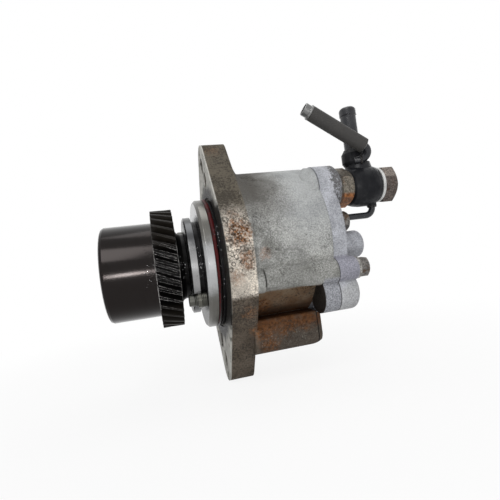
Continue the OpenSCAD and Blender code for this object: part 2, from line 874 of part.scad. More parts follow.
// barrel of the fitting with the neck that takes both pipes
module banjo_body() {
    rim_r = banjo_r - 3.2;
    color([0.10, 0.10, 0.12])
        difference() {
            union() {
                turned(inlet[0], inlet[1])
                    polygon([[0, banjo_x0], [rim_r, banjo_x0], [banjo_r - 1.7, banjo_x0 + 1.2],
                             [banjo_r - 0.6, banjo_x0 + 4.5], [banjo_r, banjo_x0 + 9],
                             [banjo_r, banjo_x1 - 9], [banjo_r - 0.6, banjo_x1 - 4.5],
                             [banjo_r - 1.7, banjo_x1 - 1.2], [rim_r, banjo_x1], [0, banjo_x1]]);
                // neck: a broad foot, a collar and a tapered lip
                translate([neck_x + 2.6, inlet[0], neck_z - 6])
                    cylinder(h = 10, r1 = 11.6, r2 = 9.6);
                translate([neck_x, inlet[0], neck_z]) {
                    translate([0, 0, 2])
                        cylinder(h = 3, r1 = 7.6, r2 = neck_r);
                    translate([0, 0, 5])
                        cylinder(h = 7, r = neck_r);
                    translate([0, 0, 12])
                        cylinder(h = neck_top - neck_z - 12, r1 = neck_r, r2 = suction_r + 1.2);
                }
                // pad for the thin pipe
                translate([drain_turn, inlet[0], drain_z + drain_bend + 0.1])
                    cylinder(h = 6, r = drain_r + 1.3);
            }
            rod(banjo_x0 - 1, banjo_x1 + 1, 10 + 0.15, inlet[0], inlet[1]);
            // ways up the neck and to the thin pipe
            translate([neck_x, inlet[0], inlet[1] + 8])
                cylinder(h = 24, r = 3.4);
            translate([neck_x, inlet[0], neck_top - 7.5])
                cylinder(h = 10, r = suction_r + fit);
            translate([drain_turn, inlet[0], drain_z + drain_bend - 2])
                cylinder(h = 5, r = drain_r + fit);
            translate([drain_turn, inlet[0], drain_z + drain_bend + 2])
                cylinder(h = 10, r = drain_r - 1);
            // socket of the return pipe's elbow
            pipe_frame()
                elbow(elbow_tube_r + fit);
        }
}

module outer_washer() {
    color([0.86, 0.86, 0.85])
        difference() {
            rod(banjo_x1 + 0.02, head_x - 0.02, banjo_r - 2.3, inlet[0], inlet[1]);
            rod(banjo_x1 - 1, head_x + 1, 10.2, inlet[0], inlet[1]);
        }
}

module banjo_bolt() {
    color([0.30, 0.26, 0.23])
        difference() {
            union() {
                hex_x(head_x, head_x + head_t, fitting_af, inlet[0], inlet[1], 12);
                rod(banjo_x0 + 0.3, head_x + 1, 10, inlet[0], inlet[1]);
                rod(inlet_end - 9, banjo_x0 + 1, 8.5, inlet[0], inlet[1]);
            }
            rod(inlet_end - 10, banjo_x1 - 3, 5, inlet[0], inlet[1]);
            translate([(banjo_x0 + banjo_x1) / 2, inlet[0], inlet[1] - 15])
                cylinder(h = 30, r = 3.2);
            turned(inlet[0], inlet[1])
                polygon([[9, banjo_x0 + 8], [11, banjo_x0 + 8], [11, banjo_x1 - 8],
                         [9, banjo_x1 - 8]]);
        }
}

// ---- pipes ---------------------------------------------------------------

module suction_pipe() {
    color([0.09, 0.09, 0.10])
        translate([neck_x, inlet[0], 0])
            rotate_extrude()
                difference() {
                    union() {
                        polygon([[0, neck_top - 7.4], [suction_r, neck_top - 7.4],
                                 [suction_r, suction_top - 6.7], [suction_r + 0.45, suction_top - 6.2],
                                 [suction_r + 0.45, suction_top - 1.8], [suction_r, suction_top - 1.4],
                                 [suction_r, suction_top - 0.9], [suction_r - 0.9, suction_top],
                                 [0, suction_top]]);
                    }
                    translate([0, neck_top - 9])
                        square([suction_r - 1.4, suction_top - neck_top + 12]);
                }
}

// frame of the sleeved pipe: local Z runs from the top end to the elbow, and
// local X points the way the elbow turns
sleeve_run = pipe_low - pipe_top;
run = norm(sleeve_run);
pipe_tilt = acos(sleeve_run[2] / run);
pipe_roll = 44;

module pipe_frame() {
    translate(pipe_top)
        rotate([0, 0, atan2(sleeve_run[1], sleeve_run[0])])
            rotate([0, pipe_tilt, 0])
                rotate([0, 0, pipe_roll])
                    children();
}

// the bend after the sleeve and the short straight that enters the neck
module elbow(r) {
    translate([elbow_r, 0, run])
        rotate([90, 0, 0])
            rotate([0, 0, 180 - elbow_angle])
                rotate_extrude(angle = elbow_angle)
                    translate([elbow_r, 0])
                        circle(r = r);
    translate([elbow_r, 0, run])
        rotate([0, elbow_angle, 0])
            translate([-elbow_r, 0, 0])
                cylinder(h = 4, r = r);
}

module return_pipe() {
    color([0.62, 0.63, 0.64])
        pipe_frame()
            rotate_extrude()
                polygon([[pipe_r - 1.0, 0], [pipe_r - 0.3, 0], [pipe_r, 0.4],
                         [pipe_r, 4.4], [pipe_r + 0.9, 4.7], [sleeve_r + 0.15, 5.1],
                         [sleeve_r + 0.15, 5.6], [pipe_r + 0.9, 6.0], [pipe_r, 6.1],
                         [pipe_r, run - 0.02], [pipe_r - 1.0, run - 0.02]]);
}

module return_elbow() {
    color([0.10, 0.10, 0.11])
        pipe_frame()
            elbow(elbow_tube_r);
}

module pipe_sleeve() {
    color([0.22, 0.22, 0.22])
        pipe_frame()
            difference() {
                translate([0, 0, 6.2])
                    cylinder(h = run - 6.7, r = sleeve_r);
                translate([0, 0, 5])
                    cylinder(h = run, r = pipe_r + fit);
            }
}

module drain_pipe() {
    color([0.08, 0.08, 0.09])
        translate([0, inlet[0], 0]) {
            rod(cover_x + 7, drain_turn - drain_bend + 0.01, drain_r, 0, drain_z);
            translate([drain_turn - drain_bend, 0, drain_z + drain_bend])
                rotate([90, 0, 0])
                    rotate([0, 0, -90])
                        rotate_extrude(angle = 90)
                            translate([drain_bend, 0])
                                circle(r = drain_r);
            translate([drain_turn, 0, drain_z + drain_bend - 0.01])
                cylinder(h = 2.4, r = drain_r);
        }
}

// ---- relief valve --------------------------------------------------------

module valve_spool() {
    color([0.66, 0.67, 0.68])
        translate([valve_x, 0, valve_rest - spool_len])
            rotate_extrude()
                polygon([[0, 3], [3.6, 3], [3.6, 0], [valve_r, 0], [valve_r, 6], [4.4, 7],
                         [4.4, 11], [valve_r, 12], [valve_r, spool_len - 1.5],
                         [valve_r - 1.5, spool_len - 0.02], [0, spool_len - 0.02]]);
}

// the spring is one tube whose centre line climbs evenly round the bore
spring_sides = 6;
spring_rings = 8 * spring_turns;
spring_rise = spring_high - spring_low - 2 * wire_r;
pitch = spring_rise / spring_turns;
echo(least_spring_gap = pitch * cos(atan(pitch / (2 * PI * coil_r))) - 2 * wire_r);

function spring_point(i, j) =
    let (a = 360 * i / 8,
         b = 360 * j / spring_sides)
    [(coil_r + wire_r * cos(b)) * cos(a), (coil_r + wire_r * cos(b)) * sin(a),
     spring_low + wire_r + spring_rise * i / spring_rings + wire_r * sin(b)];

module valve_spring() {
    color([0.50, 0.50, 0.52])
        translate([valve_x, 0, 0])
            polyhedron(
                points = [for (i = [0:spring_rings], j = [0:spring_sides - 1])
                          spring_point(i, j)],
                faces = concat(
                    [[for (j = [0:spring_sides - 1]) j]],
                    [for (i = [0:spring_rings - 1], j = [0:spring_sides - 1], h = [0, 1])
                     let (k = (j + 1) % spring_sides,
                          p = i * spring_sides,
                          q = p + spring_sides)
                     h == 0 ? [p + j, q + j, p + k] : [p + k, q + j, q + k]],
                    [[for (j = [0:spring_sides - 1])
                      spring_rings * spring_sides + spring_sides - 1 - j]]));
}

module valve_plug() {
    color([0.42, 0.42, 0.43])
        translate([valve_x, 0, block_low])
            difference() {
                cylinder(h = plug_len, r = 9);
                translate([0, 0, -1])
                    cylinder(h = 7, r = 5, $fn = 6);
            }
}

front_body();
rear_cover();
cover_gasket();
bearing_carrier();
pilot_oring();
bearing_outer_race();
bearing_balls();
bearing_cage();
bearing_inner_race();
retainer_ring();
retainer_screws();
shaft_seal();
drive_shaft();
helical_gear();
gear_key();
lock_washer();
shaft_nut();
pump_drive_gear();
pump_gear_key();
pump_driven_gear();
front_bush();
rear_bush();
locating_dowels();
cover_bolts();
bolt_washers();
inlet_adaptor();
inner_washer();
banjo_body();
outer_washer();
banjo_bolt();
suction_pipe();
return_pipe();
return_elbow();
pipe_sleeve();
drain_pipe();
valve_spool();
valve_spring();
valve_plug();
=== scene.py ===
import math

import bpy
import numpy as np
from bpy.props import FloatProperty, FloatVectorProperty, IntProperty, PointerProperty
from mathutils import Matrix, Vector
from mathutils.bvhtree import BVHTree


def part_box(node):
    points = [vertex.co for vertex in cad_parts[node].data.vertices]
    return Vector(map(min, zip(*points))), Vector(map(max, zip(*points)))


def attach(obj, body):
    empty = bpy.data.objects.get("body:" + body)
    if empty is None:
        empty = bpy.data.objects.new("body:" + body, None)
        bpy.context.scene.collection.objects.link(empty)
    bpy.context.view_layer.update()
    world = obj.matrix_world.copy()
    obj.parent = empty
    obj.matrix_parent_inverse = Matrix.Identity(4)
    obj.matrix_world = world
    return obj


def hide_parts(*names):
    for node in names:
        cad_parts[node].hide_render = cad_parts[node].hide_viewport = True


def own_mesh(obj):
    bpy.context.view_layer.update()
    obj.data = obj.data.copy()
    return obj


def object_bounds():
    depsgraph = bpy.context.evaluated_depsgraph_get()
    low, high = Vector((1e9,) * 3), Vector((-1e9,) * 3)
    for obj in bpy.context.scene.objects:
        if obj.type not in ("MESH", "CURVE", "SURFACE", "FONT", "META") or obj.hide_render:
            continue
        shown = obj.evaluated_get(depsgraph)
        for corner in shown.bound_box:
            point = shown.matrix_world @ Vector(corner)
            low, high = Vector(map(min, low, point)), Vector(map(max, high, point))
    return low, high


bl_info = {
    "name": "Flanged Gear Pump",
    "version": (1, 0, 0),
    "blender": (4, 5, 0),
    "location": "3D View > Sidebar > Pump",
    "description": "Finishes and fine pieces of a gear-driven pump with a cast body",
    "category": "Object",
}

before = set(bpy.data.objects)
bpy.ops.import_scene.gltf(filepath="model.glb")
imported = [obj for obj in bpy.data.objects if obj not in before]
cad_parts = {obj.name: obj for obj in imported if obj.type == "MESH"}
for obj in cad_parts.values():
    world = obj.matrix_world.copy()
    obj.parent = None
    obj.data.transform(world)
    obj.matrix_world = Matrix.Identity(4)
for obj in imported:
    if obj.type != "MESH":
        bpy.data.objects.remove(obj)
cad_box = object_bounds()
# x where the gear's teeth begin and end, of the flange's rear face and of the joint with the cover
HUB_END = -0.0447
TOOTH_END = -0.0291
FLANGE_BACK = 0.0190
BODY_END = 0.0654
# the relief valve: x and y of the spring's axis
SPRING_AXIS = (0.046, 0.0)
# the retaining screws: their turns in degrees, and where their spacers begin and end in x
SPACER_TURNS = (222.0, 42.0)
SPACER_X = (-0.0156, -0.01015)
# the brazed rings: centre, axis and radius
BRAZED = (((0.1184, -0.030975, 0.0742), (0.0, 0.0, 1.0), 0.0066),
          ((0.11930, -0.04029, 0.06431), (-0.88537, 0.46482, 0.00812), 0.0032),
          ((0.1286, -0.030975, 0.0281), (0.0, 0.0, 1.0), 0.0029))
# places with oil drops: name, body, slot, nodes, x, turn in degrees, radius of a drop, seed
OILY = (("hub_drops", "shaft", "helical_gear", ("helical_gear",),
         (-0.0530, -0.0455), (172.0, 200.0), (0.00010, 0.00026), 3),
        ("neck_drops", "shaft", "helical_gear", ("helical_gear",),
         (-0.0282, -0.0240), (165.0, 205.0), (0.00018, 0.00042), 5),
        ("carrier_drops", "housing", "bearing_carrier", ("bearing_carrier",),
         (-0.0152, -0.0126), (160.0, 200.0), (0.00018, 0.00046), 7),
        ("pilot_drops", "housing", "bearing_carrier", ("bearing_carrier", "pilot_oring"),
         (-0.0028, 0.0000), (145.0, 215.0), (0.00015, 0.00036), 9))
# lamps: name, place, width and power, all turned towards the point after them
LAMPS = (("low", (-0.15, -0.90, -0.42), 0.12, 3.2), ("key", (-0.35, -0.75, 0.85), 0.60, 5.2),
         ("front", (-0.15, -1.0, -0.06), 0.12, 2.1), ("top", (0.15, 0.15, 1.1), 0.6, 2.5),
         ("rim", (0.9, 0.5, 0.5), 0.5, 1.5))
LIT = (0.02, 0.0, 0.0)
# the floor: half its width, and how far it lies below the pump
FLOOR_HALF = 3.0
FLOOR_GAP = 0.0002
# where the rays that look for the surface start, and how squarely they have to meet it
RAY_START = 0.09
FACING = 0.3
# the camera fitted to the photograph: its place and the directions of its picture
EYE = (-0.038911, -0.292254, -0.000872)
RIGHT = (0.9648529, -0.2286079, -0.1296045)
DOWN = (-0.1206736, 0.0526830, -0.9912933)
AHEAD = (0.2334454, 0.9720921, 0.0232444)


# ---- settings a user would change ----------------------------------------

def colour(name, text, value):
    return FloatVectorProperty(name=name, description=text, subtype="COLOR", size=3, min=0.0, max=1.0,
                               default=value)


def length(name, text, value, low=0.0, high=1.0):
    return FloatProperty(name=name, description=text, subtype="DISTANCE", unit="LENGTH", default=value,
                         min=low, max=high, precision=5)


class PumpColours(bpy.types.PropertyGroup):
    body: colour("Body casting", "Aged aluminium of the pump's body", (0.43, 0.432, 0.415))
    flange: colour("Flange", "Dirty casting round the flange", (0.66, 0.60, 0.52))
    cover: colour("Rear cover", "Aged aluminium of the cover", (0.43, 0.44, 0.475))
    dirt: colour("Dirt", "Dark dried oil and road dirt", (0.045, 0.040, 0.034))
    rust: colour("Rust", "Bright rust film", (0.30, 0.130, 0.052))
    steel: colour("Machined steel", "Bright turned steel", (0.43, 0.435, 0.44))
    hub: colour("Gear steel", "Dark ground steel of the drive gear", (0.0205, 0.0182, 0.0176))
    paint: colour("Fitting black", "Black finish of the fitting and pipes", (0.0065, 0.0068, 0.0082))
    seal: colour("Sealing ring", "Dark red rubber", (0.062, 0.0058, 0.0066))


class PumpSizes(bpy.types.PropertyGroup):
    grain: length("Cast grain", "Size of the casting's fine grain", 0.0006, 0.0001, 0.01)
    soft_edge: length("Casting edge", "Radius that the casting's edges look rounded by", 0.0012, 0.0, 0.01)
    ridge: length("Spacer ridge", "Pitch of the ridges round the spacers of the retaining screws", 0.0013,
                  0.0005, 0.003)
    braze: length("Braze bead", "Half the thickness of the braze beads on the fitting", 0.0007, 0.0002,
                  0.002)
    drops: IntProperty(name="Oil drops", description="Number of oil drops on each oily place", default=26,
                       min=1, max=200)
    lens: FloatProperty(name="Lens", description="Camera lens in millimetres", default=26.24, min=10.0,
                        max=200.0)


# ---- node helpers --------------------------------------------------------

class Net:
    """Short names for the nodes of one tree. A socket or a plain value goes in, a socket comes out."""

    def __init__(self, tree, owner=None):
        self.tree = tree
        self.owner = owner

    def put(self, socket, value):
        if isinstance(value, bpy.types.NodeSocket):
            self.tree.links.new(value, socket)
        elif value is not None:
            if hasattr(socket.default_value, "__len__"):
                value = tuple(value) if hasattr(value, "__len__") else (value,) * 3
                if len(socket.default_value) == 4 and len(value) == 3:
                    value = (*value, 1.0)
            socket.default_value = value

    def node(self, kind, out=0, _set=None, **given):
        n = self.tree.nodes.new(kind)
        for key, value in (_set or {}).items():
            setattr(n, key, value)
        for key, value in given.items():
            self.put(n.inputs[key.replace("_", " ")], value)
        return n.outputs[out]

    def math(self, op, a, b=None, c=None, clamp=False):
        n = self.tree.nodes.new("ShaderNodeMath")
        n.operation = op
        n.use_clamp = clamp
        for k, value in enumerate((a, b, c)):
            if value is not None:
                self.put(n.inputs[k], value)
        return n.outputs[0]

    def mul(self, a, b):
        return self.math("MULTIPLY", a, b)

    def add(self, a, b):
        return self.math("ADD", a, b)

    def mul_add(self, a, b, c):
        """a times b, plus c."""
        return self.math("MULTIPLY_ADD", a, b, c)

    def most(self, a, b):
        return self.math("MAXIMUM", a, b)

    def rest(self, a):
        """What a leaves of 1."""
        return self.math("SUBTRACT", 1.0, a)

    def reach(self, a, b):
        """Distance from an axis: the root of a squared plus b squared."""
        return self.math("SQRT", self.add(self.mul(a, a), self.mul(b, b)))

    def times(self, colour, much):
        """A colour or a vector, each of its numbers times much."""
        return self.vmath("SCALE", colour, scale=much)

    def absolute(self, a):
        return self.math("ABSOLUTE", a)

    def vmath(self, op, a, b=None, scale=None, out=0):
        n = self.tree.nodes.new("ShaderNodeVectorMath")
        n.operation = op
        self.put(n.inputs[0], a)
        if b is not None:
            self.put(n.inputs[1], b)
        if scale is not None:
            self.put(n.inputs["Scale"], scale)
        return n.outputs[out]

    def noise(self, vector, scale, detail=3.0, rough=0.55, distort=0.0):
        return self.node("ShaderNodeTexNoise", "Fac", Vector=vector, Scale=scale, Detail=detail,
                         Roughness=rough, Distortion=distort)

    def cells(self, vector, scale):
        return self.node("ShaderNodeTexVoronoi", "Distance", Vector=vector, Scale=scale)

    def ramp(self, value, low, high, to_low=0.0, to_high=1.0, smooth=True):
        n = self.tree.nodes.new("ShaderNodeMapRange")
        n.interpolation_type = "SMOOTHSTEP" if smooth else "LINEAR"
        for k, v in enumerate((value, low, high, to_low, to_high)):
            self.put(n.inputs[k], v)
        return n.outputs[0]

    def mix(self, fac, a, b):
        n = self.tree.nodes.new("ShaderNodeMix")
        n.data_type = "RGBA"
        self.put(n.inputs["Factor"], fac)
        self.put(n.inputs[6], a)
        self.put(n.inputs[7], b)
        return n.outputs[2]

    def place(self):
        return self.node("ShaderNodeTexCoord", "Object")

    def finish(self, **given):
        """Sets the Principled shader's inputs and gives the material back."""
        shader = self.tree.nodes["Principled BSDF"]
        for name, value in given.items():
            self.put(shader.inputs[name.replace("_", " ")], value)
        return self.owner

    def use(self, key, vector, **given):
        """Places a shared group in a material and gives its outputs by name."""
        n = self.tree.nodes.new("ShaderNodeGroup")
        n.node_tree = GROUPS[key]
        for name, value in {"Vector": vector, **given}.items():
            self.put(n.inputs[name], value)
        return n.outputs

    def lay(self, under, over, mask, much):
        """The colour over on the colour under, as far as mask times much."""
        return self.mix(self.mul(mask, much), under, over)

    def split(self, vector):
        n = self.tree.nodes.new("ShaderNodeSeparateXYZ")
        self.put(n.inputs[0], vector)
        return n.outputs[0], n.outputs[1], n.outputs[2]

    def bump(self, height, distance, strength=1.0, normal=None):
        return self.node("ShaderNodeBump", 0, Strength=strength, Distance=distance, Height=height,
                         Normal=normal)

    def spot(self, vector, centre, radius, ragged=0.5, scale=160.0):
        """1 inside a ragged ball round centre, 0 outside. Distance to the centre, shaken by noise."""
        far = self.vmath("DISTANCE", vector, centre, out="Value")
        shake = self.math("MULTIPLY_ADD", self.noise(vector, scale, 4.0, 0.65), 2.0 * ragged, -ragged)
        return self.ramp(self.math("ADD", self.math("DIVIDE", far, radius), shake), 1.15, 0.55)


def group(name, inputs, outputs, build):
    """A shader node group made once. inputs are (name, kind, default); outputs are (name, kind)."""
    tree = bpy.data.node_groups.new(name, "ShaderNodeTree")
    for key, kind, value in inputs:
        s = tree.interface.new_socket(key, in_out="INPUT", socket_type=kind)
        if value is not None:
            s.default_value = value
    for key, kind in outputs:
        tree.interface.new_socket(key, in_out="OUTPUT", socket_type=kind)
    source = tree.nodes.new("NodeGroupInput")
    sink = tree.nodes.new("NodeGroupOutput")
    net = Net(tree)
    result = build(net, {key: source.outputs[key] for key, _, _ in inputs})
    for key, _ in outputs:
        tree.links.new(result[key], sink.inputs[key])
    return tree


F, V = "NodeSocketFloat", "NodeSocketVector"


def grain_group(net, i):
    """Casting grain: two noises, the finer one cut to pits, and a mask of the pits."""
    fine = net.noise(i["Vector"], i["Scale"], 4.0, 0.7)
    coarse = net.noise(i["Vector"], net.mul(i["Scale"], 0.22), 3.0, 0.6)
    pits = net.ramp(net.noise(i["Vector"], net.mul(i["Scale"], 0.45), 5.0, 0.75), 0.58, 0.68)
    height = net.math("SUBTRACT", net.add(fine, net.mul(coarse, 1.5)), net.mul(pits, 0.8))
    return {"Height": height, "Pits": pits, "Salt": net.ramp(fine, 0.40, 0.62)}


def speckle_group(net, i):
    """Dried dirt as specks: fine noise passed through a threshold that a broad noise and Amount move."""
    broad = net.noise(i["Vector"], net.mul(i["Scale"], 0.06), 4.0, 0.6)
    fine = net.noise(i["Vector"], i["Scale"], 4.0, 0.8)
    level = net.add(net.mul_add(broad, 0.60, -0.30), i["Amount"])
    mask = net.ramp(net.add(fine, level), 0.56, 0.68)
    return {"Mask": mask, "Broad": broad}


def edge_group(net, i):
    """Edges: how far the normal rounded over Radius leans from the true one, broken up by noise."""
    soft = net.node("ShaderNodeBevel", 0, {"samples": 6}, Radius=i["Radius"])
    true = net.node("ShaderNodeNewGeometry", "Normal")
    lean = net.rest(net.vmath("DOT_PRODUCT", soft, true, out="Value"))
    broken = net.mul(lean, net.ramp(net.noise(i["Vector"], i["Scale"], 4.0, 0.7), 0.35, 0.7))
    return {"Mask": net.ramp(broken, 0.01, 0.12), "Normal": soft}


def turned_group(net, i):
    """Lathe marks round the X axis: waves of x and of the radius, uneven along each wave."""
    x, y, z = net.split(i["Vector"])
    radius = net.reach(y, z)
    along = net.add(x, radius)
    line = net.node("ShaderNodeCombineXYZ", 0, X=net.mul(along, i["Scale"]))
    marks = net.noise(line, 1.0, 5.0, 0.8)
    slow = net.noise(i["Vector"], 90.0, 2.0, 0.5)
    return {"Marks": marks, "Height": net.mul(marks, net.add(slow, 0.3))}


def oil_group(net, i):
    """Oil: broad pools and thin runs that hang down Z, as one mask."""
    pools = net.ramp(net.noise(i["Vector"], i["Scale"], 3.0, 0.55), 0.42, 0.62)
    x, y, z = net.split(i["Vector"])
    run = net.node("ShaderNodeCombineXYZ", 0, X=x, Y=y, Z=net.mul(z, 0.15))
    runs = net.ramp(net.noise(run, net.mul(i["Scale"], 3.0), 3.0, 0.6), 0.48, 0.68)
    both = net.most(pools, runs)
    return {"Mask": net.math("MULTIPLY", both, i["Amount"], clamp=True)}


GROUPS = {}


def shared_groups():
    """The effects that several finishes use, each built once."""
    vec = ("Vector", V, None)
    GROUPS["grain"] = group("Cast Grain", [vec, ("Scale", F, 1500.0)],
                            [("Height", F), ("Pits", F), ("Salt", F)], grain_group)
    GROUPS["speckle"] = group("Dirt Specks", [vec, ("Scale", F, 1300.0), ("Amount", F, 0.0)],
                              [("Mask", F), ("Broad", F)], speckle_group)
    GROUPS["edge"] = group("Edge Wear", [vec, ("Radius", F, 0.0006), ("Scale", F, 400.0)],
                           [("Mask", F), ("Normal", V)], edge_group)
    GROUPS["turned"] = group("Lathe Marks", [vec, ("Scale", F, 6000.0)], [("Marks", F), ("Height", F)],
                             turned_group)
    GROUPS["oil"] = group("Oil Film", [vec, ("Scale", F, 60.0), ("Amount", F, 1.0)], [("Mask", F)],
                          oil_group)


def material(name):
    """The helper of a new material's tree, and the place on the object."""
    m = bpy.data.materials.new(name)
    m.use_nodes = True
    net = Net(m.node_tree, m)
    return net, net.place()


def dress(mat, *names):
    """Gives CAD nodes a finish. Their meshes stay as they are."""
    for name in names:
        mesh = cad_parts[name].data
        mesh.materials.clear()
        mesh.materials.append(mat)


def settings():
    return bpy.context.scene.pump_colours, bpy.context.scene.pump_sizes


# ---- finishes ------------------------------------------------------------

def band(net, value, low, high, soft):
    """1 between low and high, 0 outside, with a soft border on each side."""
    return net.mul(net.ramp(value, low - soft, low + soft), net.ramp(value, high + soft, high - soft))


def shades(net, fac, base, low, high):
    """A colour that runs from low to high times itself."""
    return net.mix(fac, net.times(base, low), net.times(base, high))


def rust_tone(net, at, base):
    """Rust: brown to orange in fine flakes."""
    flakes = net.noise(at, 420.0, 5.0, 0.75)
    return shades(net, net.ramp(flakes, 0.36, 0.66), base, 0.32, 1.15)


def patches(net, at, places, ragged=0.8, scale=190.0):
    """The strongest of several ragged spots, each given as centre, radius and strength."""
    most = None
    for centre, radius, much in places:
        one = net.mul(net.spot(at, centre, radius, ragged, scale), much)
        most = one if most is None else net.most(most, one)
    return most


def cast_body():
    """Body casting: pale aged aluminium under salt-like grain and specks of dirt. Browner and darker near
    the flange and on its upper ear, black-brown low on the flange, rusty in the pocket under the
    ridge and in patches on the flange's rim, oily on the mounting face. Painted shade darkens the barrel
    below its middle, and round the pilot and on the near boss's front face oil and painted shade are laid
    near black."""
    tint, size = settings()
    net, at = material("aged body casting")
    x, y, z = net.split(at)
    grain = net.use("grain", at, Scale=0.6 / size.grain)
    edge = net.use("edge", at, Radius=size.soft_edge, Scale=350.0)
    cloud = net.noise(at, 120.0, 4.0, 0.65)
    shake = net.mul_add(cloud, 0.012, -0.006)
    sx = net.add(x, shake)
    sz = net.add(z, shake)
    rim = net.ramp(x, FLANGE_BACK + 0.0006, FLANGE_BACK - 0.0006)
    # plain metal, in slow clouds and fine grain
    tone = net.noise(at, 55.0, 4.0, 0.62)
    base = shades(net, net.ramp(tone, 0.30, 0.70), tint.body, 0.66, 1.18)
    base = net.mix(rim, base, shades(net, net.ramp(tone, 0.30, 0.70), tint.flange, 0.60, 1.20))
    # smooth and bluish high up towards the cover, coarse near the flange and low down
    smooth = net.mul(net.ramp(sx, 0.030, 0.062), net.ramp(sz, -0.010, 0.030))
    base = net.lay(base, (0.395, 0.415, 0.435), smooth, 0.45)
    coarse = net.mul_add(smooth, -0.34, 0.62)
    patchy = net.ramp(net.noise(at, 34.0, 4.0, 0.6), 0.34, 0.62, 0.55, 1.0)
    base = net.lay(base, net.mix(grain["Salt"], net.times(base, 0.35), net.times(base, 1.55)), coarse,
                   patchy)
    # dark smudges, mostly on the half of the barrel next to the flange
    smudge = net.ramp(net.noise(at, 42.0, 5.0, 0.72, 0.4), 0.50, 0.68)
    smudge = net.mul(smudge, net.mul_add(net.ramp(sx, 0.062, 0.030), 0.42, 0.16))
    base = net.lay(base, (0.105, 0.105, 0.092), smudge, net.rest(rim))
    # brown film at the barrel's top towards the flange and on the upper ear, and painted shade under the
    # barrel's middle
    top = net.mul(net.ramp(sz, 0.018, 0.046), net.ramp(sx, 0.062, 0.026))
    base = net.lay(base, (0.082, 0.076, 0.068), top, 0.93)
    # painted shade: the barrel below its middle is laid darker, as if shaded from the light above
    under = net.mul(net.ramp(sz, 0.000, -0.014), net.rest(rim))
    base = net.lay(base, (0.150, 0.150, 0.135), under, 0.42)
    ear = net.mul(rim, net.ramp(sz, 0.026, 0.042))
    base = net.lay(base, (0.128, 0.110, 0.083), ear, 0.78)
    # black-brown foot of the flange, with a fairly sharp upper border
    foot = net.ramp(net.add(z, net.mul(shake, 0.5)), -0.0235, -0.0275)
    dark = net.mul(foot, net.most(rim, net.ramp(x, FLANGE_BACK + 0.0010, FLANGE_BACK + 0.0002)))
    base = net.lay(base, shades(net, tone, (0.074, 0.055, 0.039), 0.6, 1.5), dark, 0.90)
    # the lower block: dull grey-brown metal
    lobe = net.mul(net.ramp(x, BODY_END - 0.0002, BODY_END + 0.0002), net.ramp(z, -0.0465, -0.0455))
    rear = net.mul(net.ramp(x, FLANGE_BACK, FLANGE_BACK + 0.001), net.rest(lobe))
    block = net.mul(net.ramp(z, -0.0415, -0.0445), rear)
    base = net.lay(base, shades(net, tone, (0.058, 0.042, 0.030), 0.5, 1.6), block, 0.88)
    # rust under the block's upper edge, which fades downwards
    upper = net.mul(block, net.ramp(net.add(z, shake), -0.0585, -0.0490))
    flakes = net.ramp(net.noise(at, 150.0, 5.0, 0.75), 0.38, 0.56)
    base = net.lay(base, (0.125, 0.050, 0.019), upper, net.mul_add(flakes, 0.65, 0.20))
    # the pocket between the ridge and the block: grey-brown above, red-brown below
    pocket = net.mul(net.mul(net.ramp(z, -0.0240, -0.0262), net.ramp(z, -0.0460, -0.0440)), rear)
    rust = rust_tone(net, at, tint.rust)
    depth = net.ramp(net.add(z, shake), -0.0330, -0.0400)
    base = net.lay(base, net.mix(depth, (0.175, 0.120, 0.074), (0.078, 0.038, 0.017)), pocket, 0.92)
    stain = net.ramp(net.noise(at, 85.0, 5.0, 0.7, 0.3), 0.42, 0.60)
    base = net.lay(base, net.times(rust, 0.50), pocket, net.mul(stain, 0.40))
    # the near boss behind the pocket is pale as the cover; its front face is painted near black, as oil and
    # painted shade
    base = net.lay(base, shades(net, grain["Salt"], tint.cover, 0.50, 1.00), lobe,
                   net.ramp(z, -0.0200, -0.0230))
    # mask of the near boss's front face, for painted shade and oil
    step = net.mul(band(net, x, 0.0646, 0.06545, 0.0002),
                   net.mul(net.ramp(z, -0.0235, -0.0250), net.ramp(y, -0.034, -0.038)))
    spots = patches(net, at, (
        ((0.0100, -0.0620, 0.0170), 0.0105, 1.0), ((0.0130, -0.0630, -0.0010), 0.0070, 0.80),
        ((0.0060, -0.0620, -0.0120), 0.0060, 0.50), ((0.0100, -0.0600, 0.0300), 0.0060, 0.45),
        ((0.0270, -0.0590, 0.0010), 0.0050, 0.45), ((0.0080, -0.0200, 0.0900), 0.0100, 0.30),
        ((0.0230, -0.0390, -0.0360), 0.0100, 0.95), ((0.0230, -0.0400, -0.0520), 0.0090, 0.90),
        ((0.0270, -0.0410, -0.0650), 0.0090, 0.80), ((0.0400, -0.0400, -0.0490), 0.0110, 0.90),
        ((0.0550, -0.0400, -0.0500), 0.0080, 0.80), ((0.0150, -0.0560, -0.0400), 0.0090, 0.55),
        ((0.0120, 0.0600, 0.0100), 0.0090, 0.70), ((0.0400, 0.0400, -0.0500), 0.0110, 0.60)))
    deep = net.mix(net.most(pocket, block), rust, net.times(rust, 0.58))
    gaps = net.ramp(net.noise(at, 520.0, 4.0, 0.75), 0.38, 0.58)
    base = net.lay(base, deep, spots, net.mul_add(gaps, 0.75, 0.25))
    # rings of dried oil on the rim's near side
    lace = band(net, net.cells(at, 300.0), 0.30, 0.46, 0.05)
    where = patches(net, at, (((0.0050, -0.0630, 0.0120), 0.0105, 1.0),
                              ((0.0055, -0.0640, -0.0030), 0.0085, 1.0),
                              ((0.0045, -0.0600, 0.0260), 0.0070, 0.8)), 0.6)
    base = net.lay(base, (0.030, 0.027, 0.024), net.mul(lace, where), 0.80)
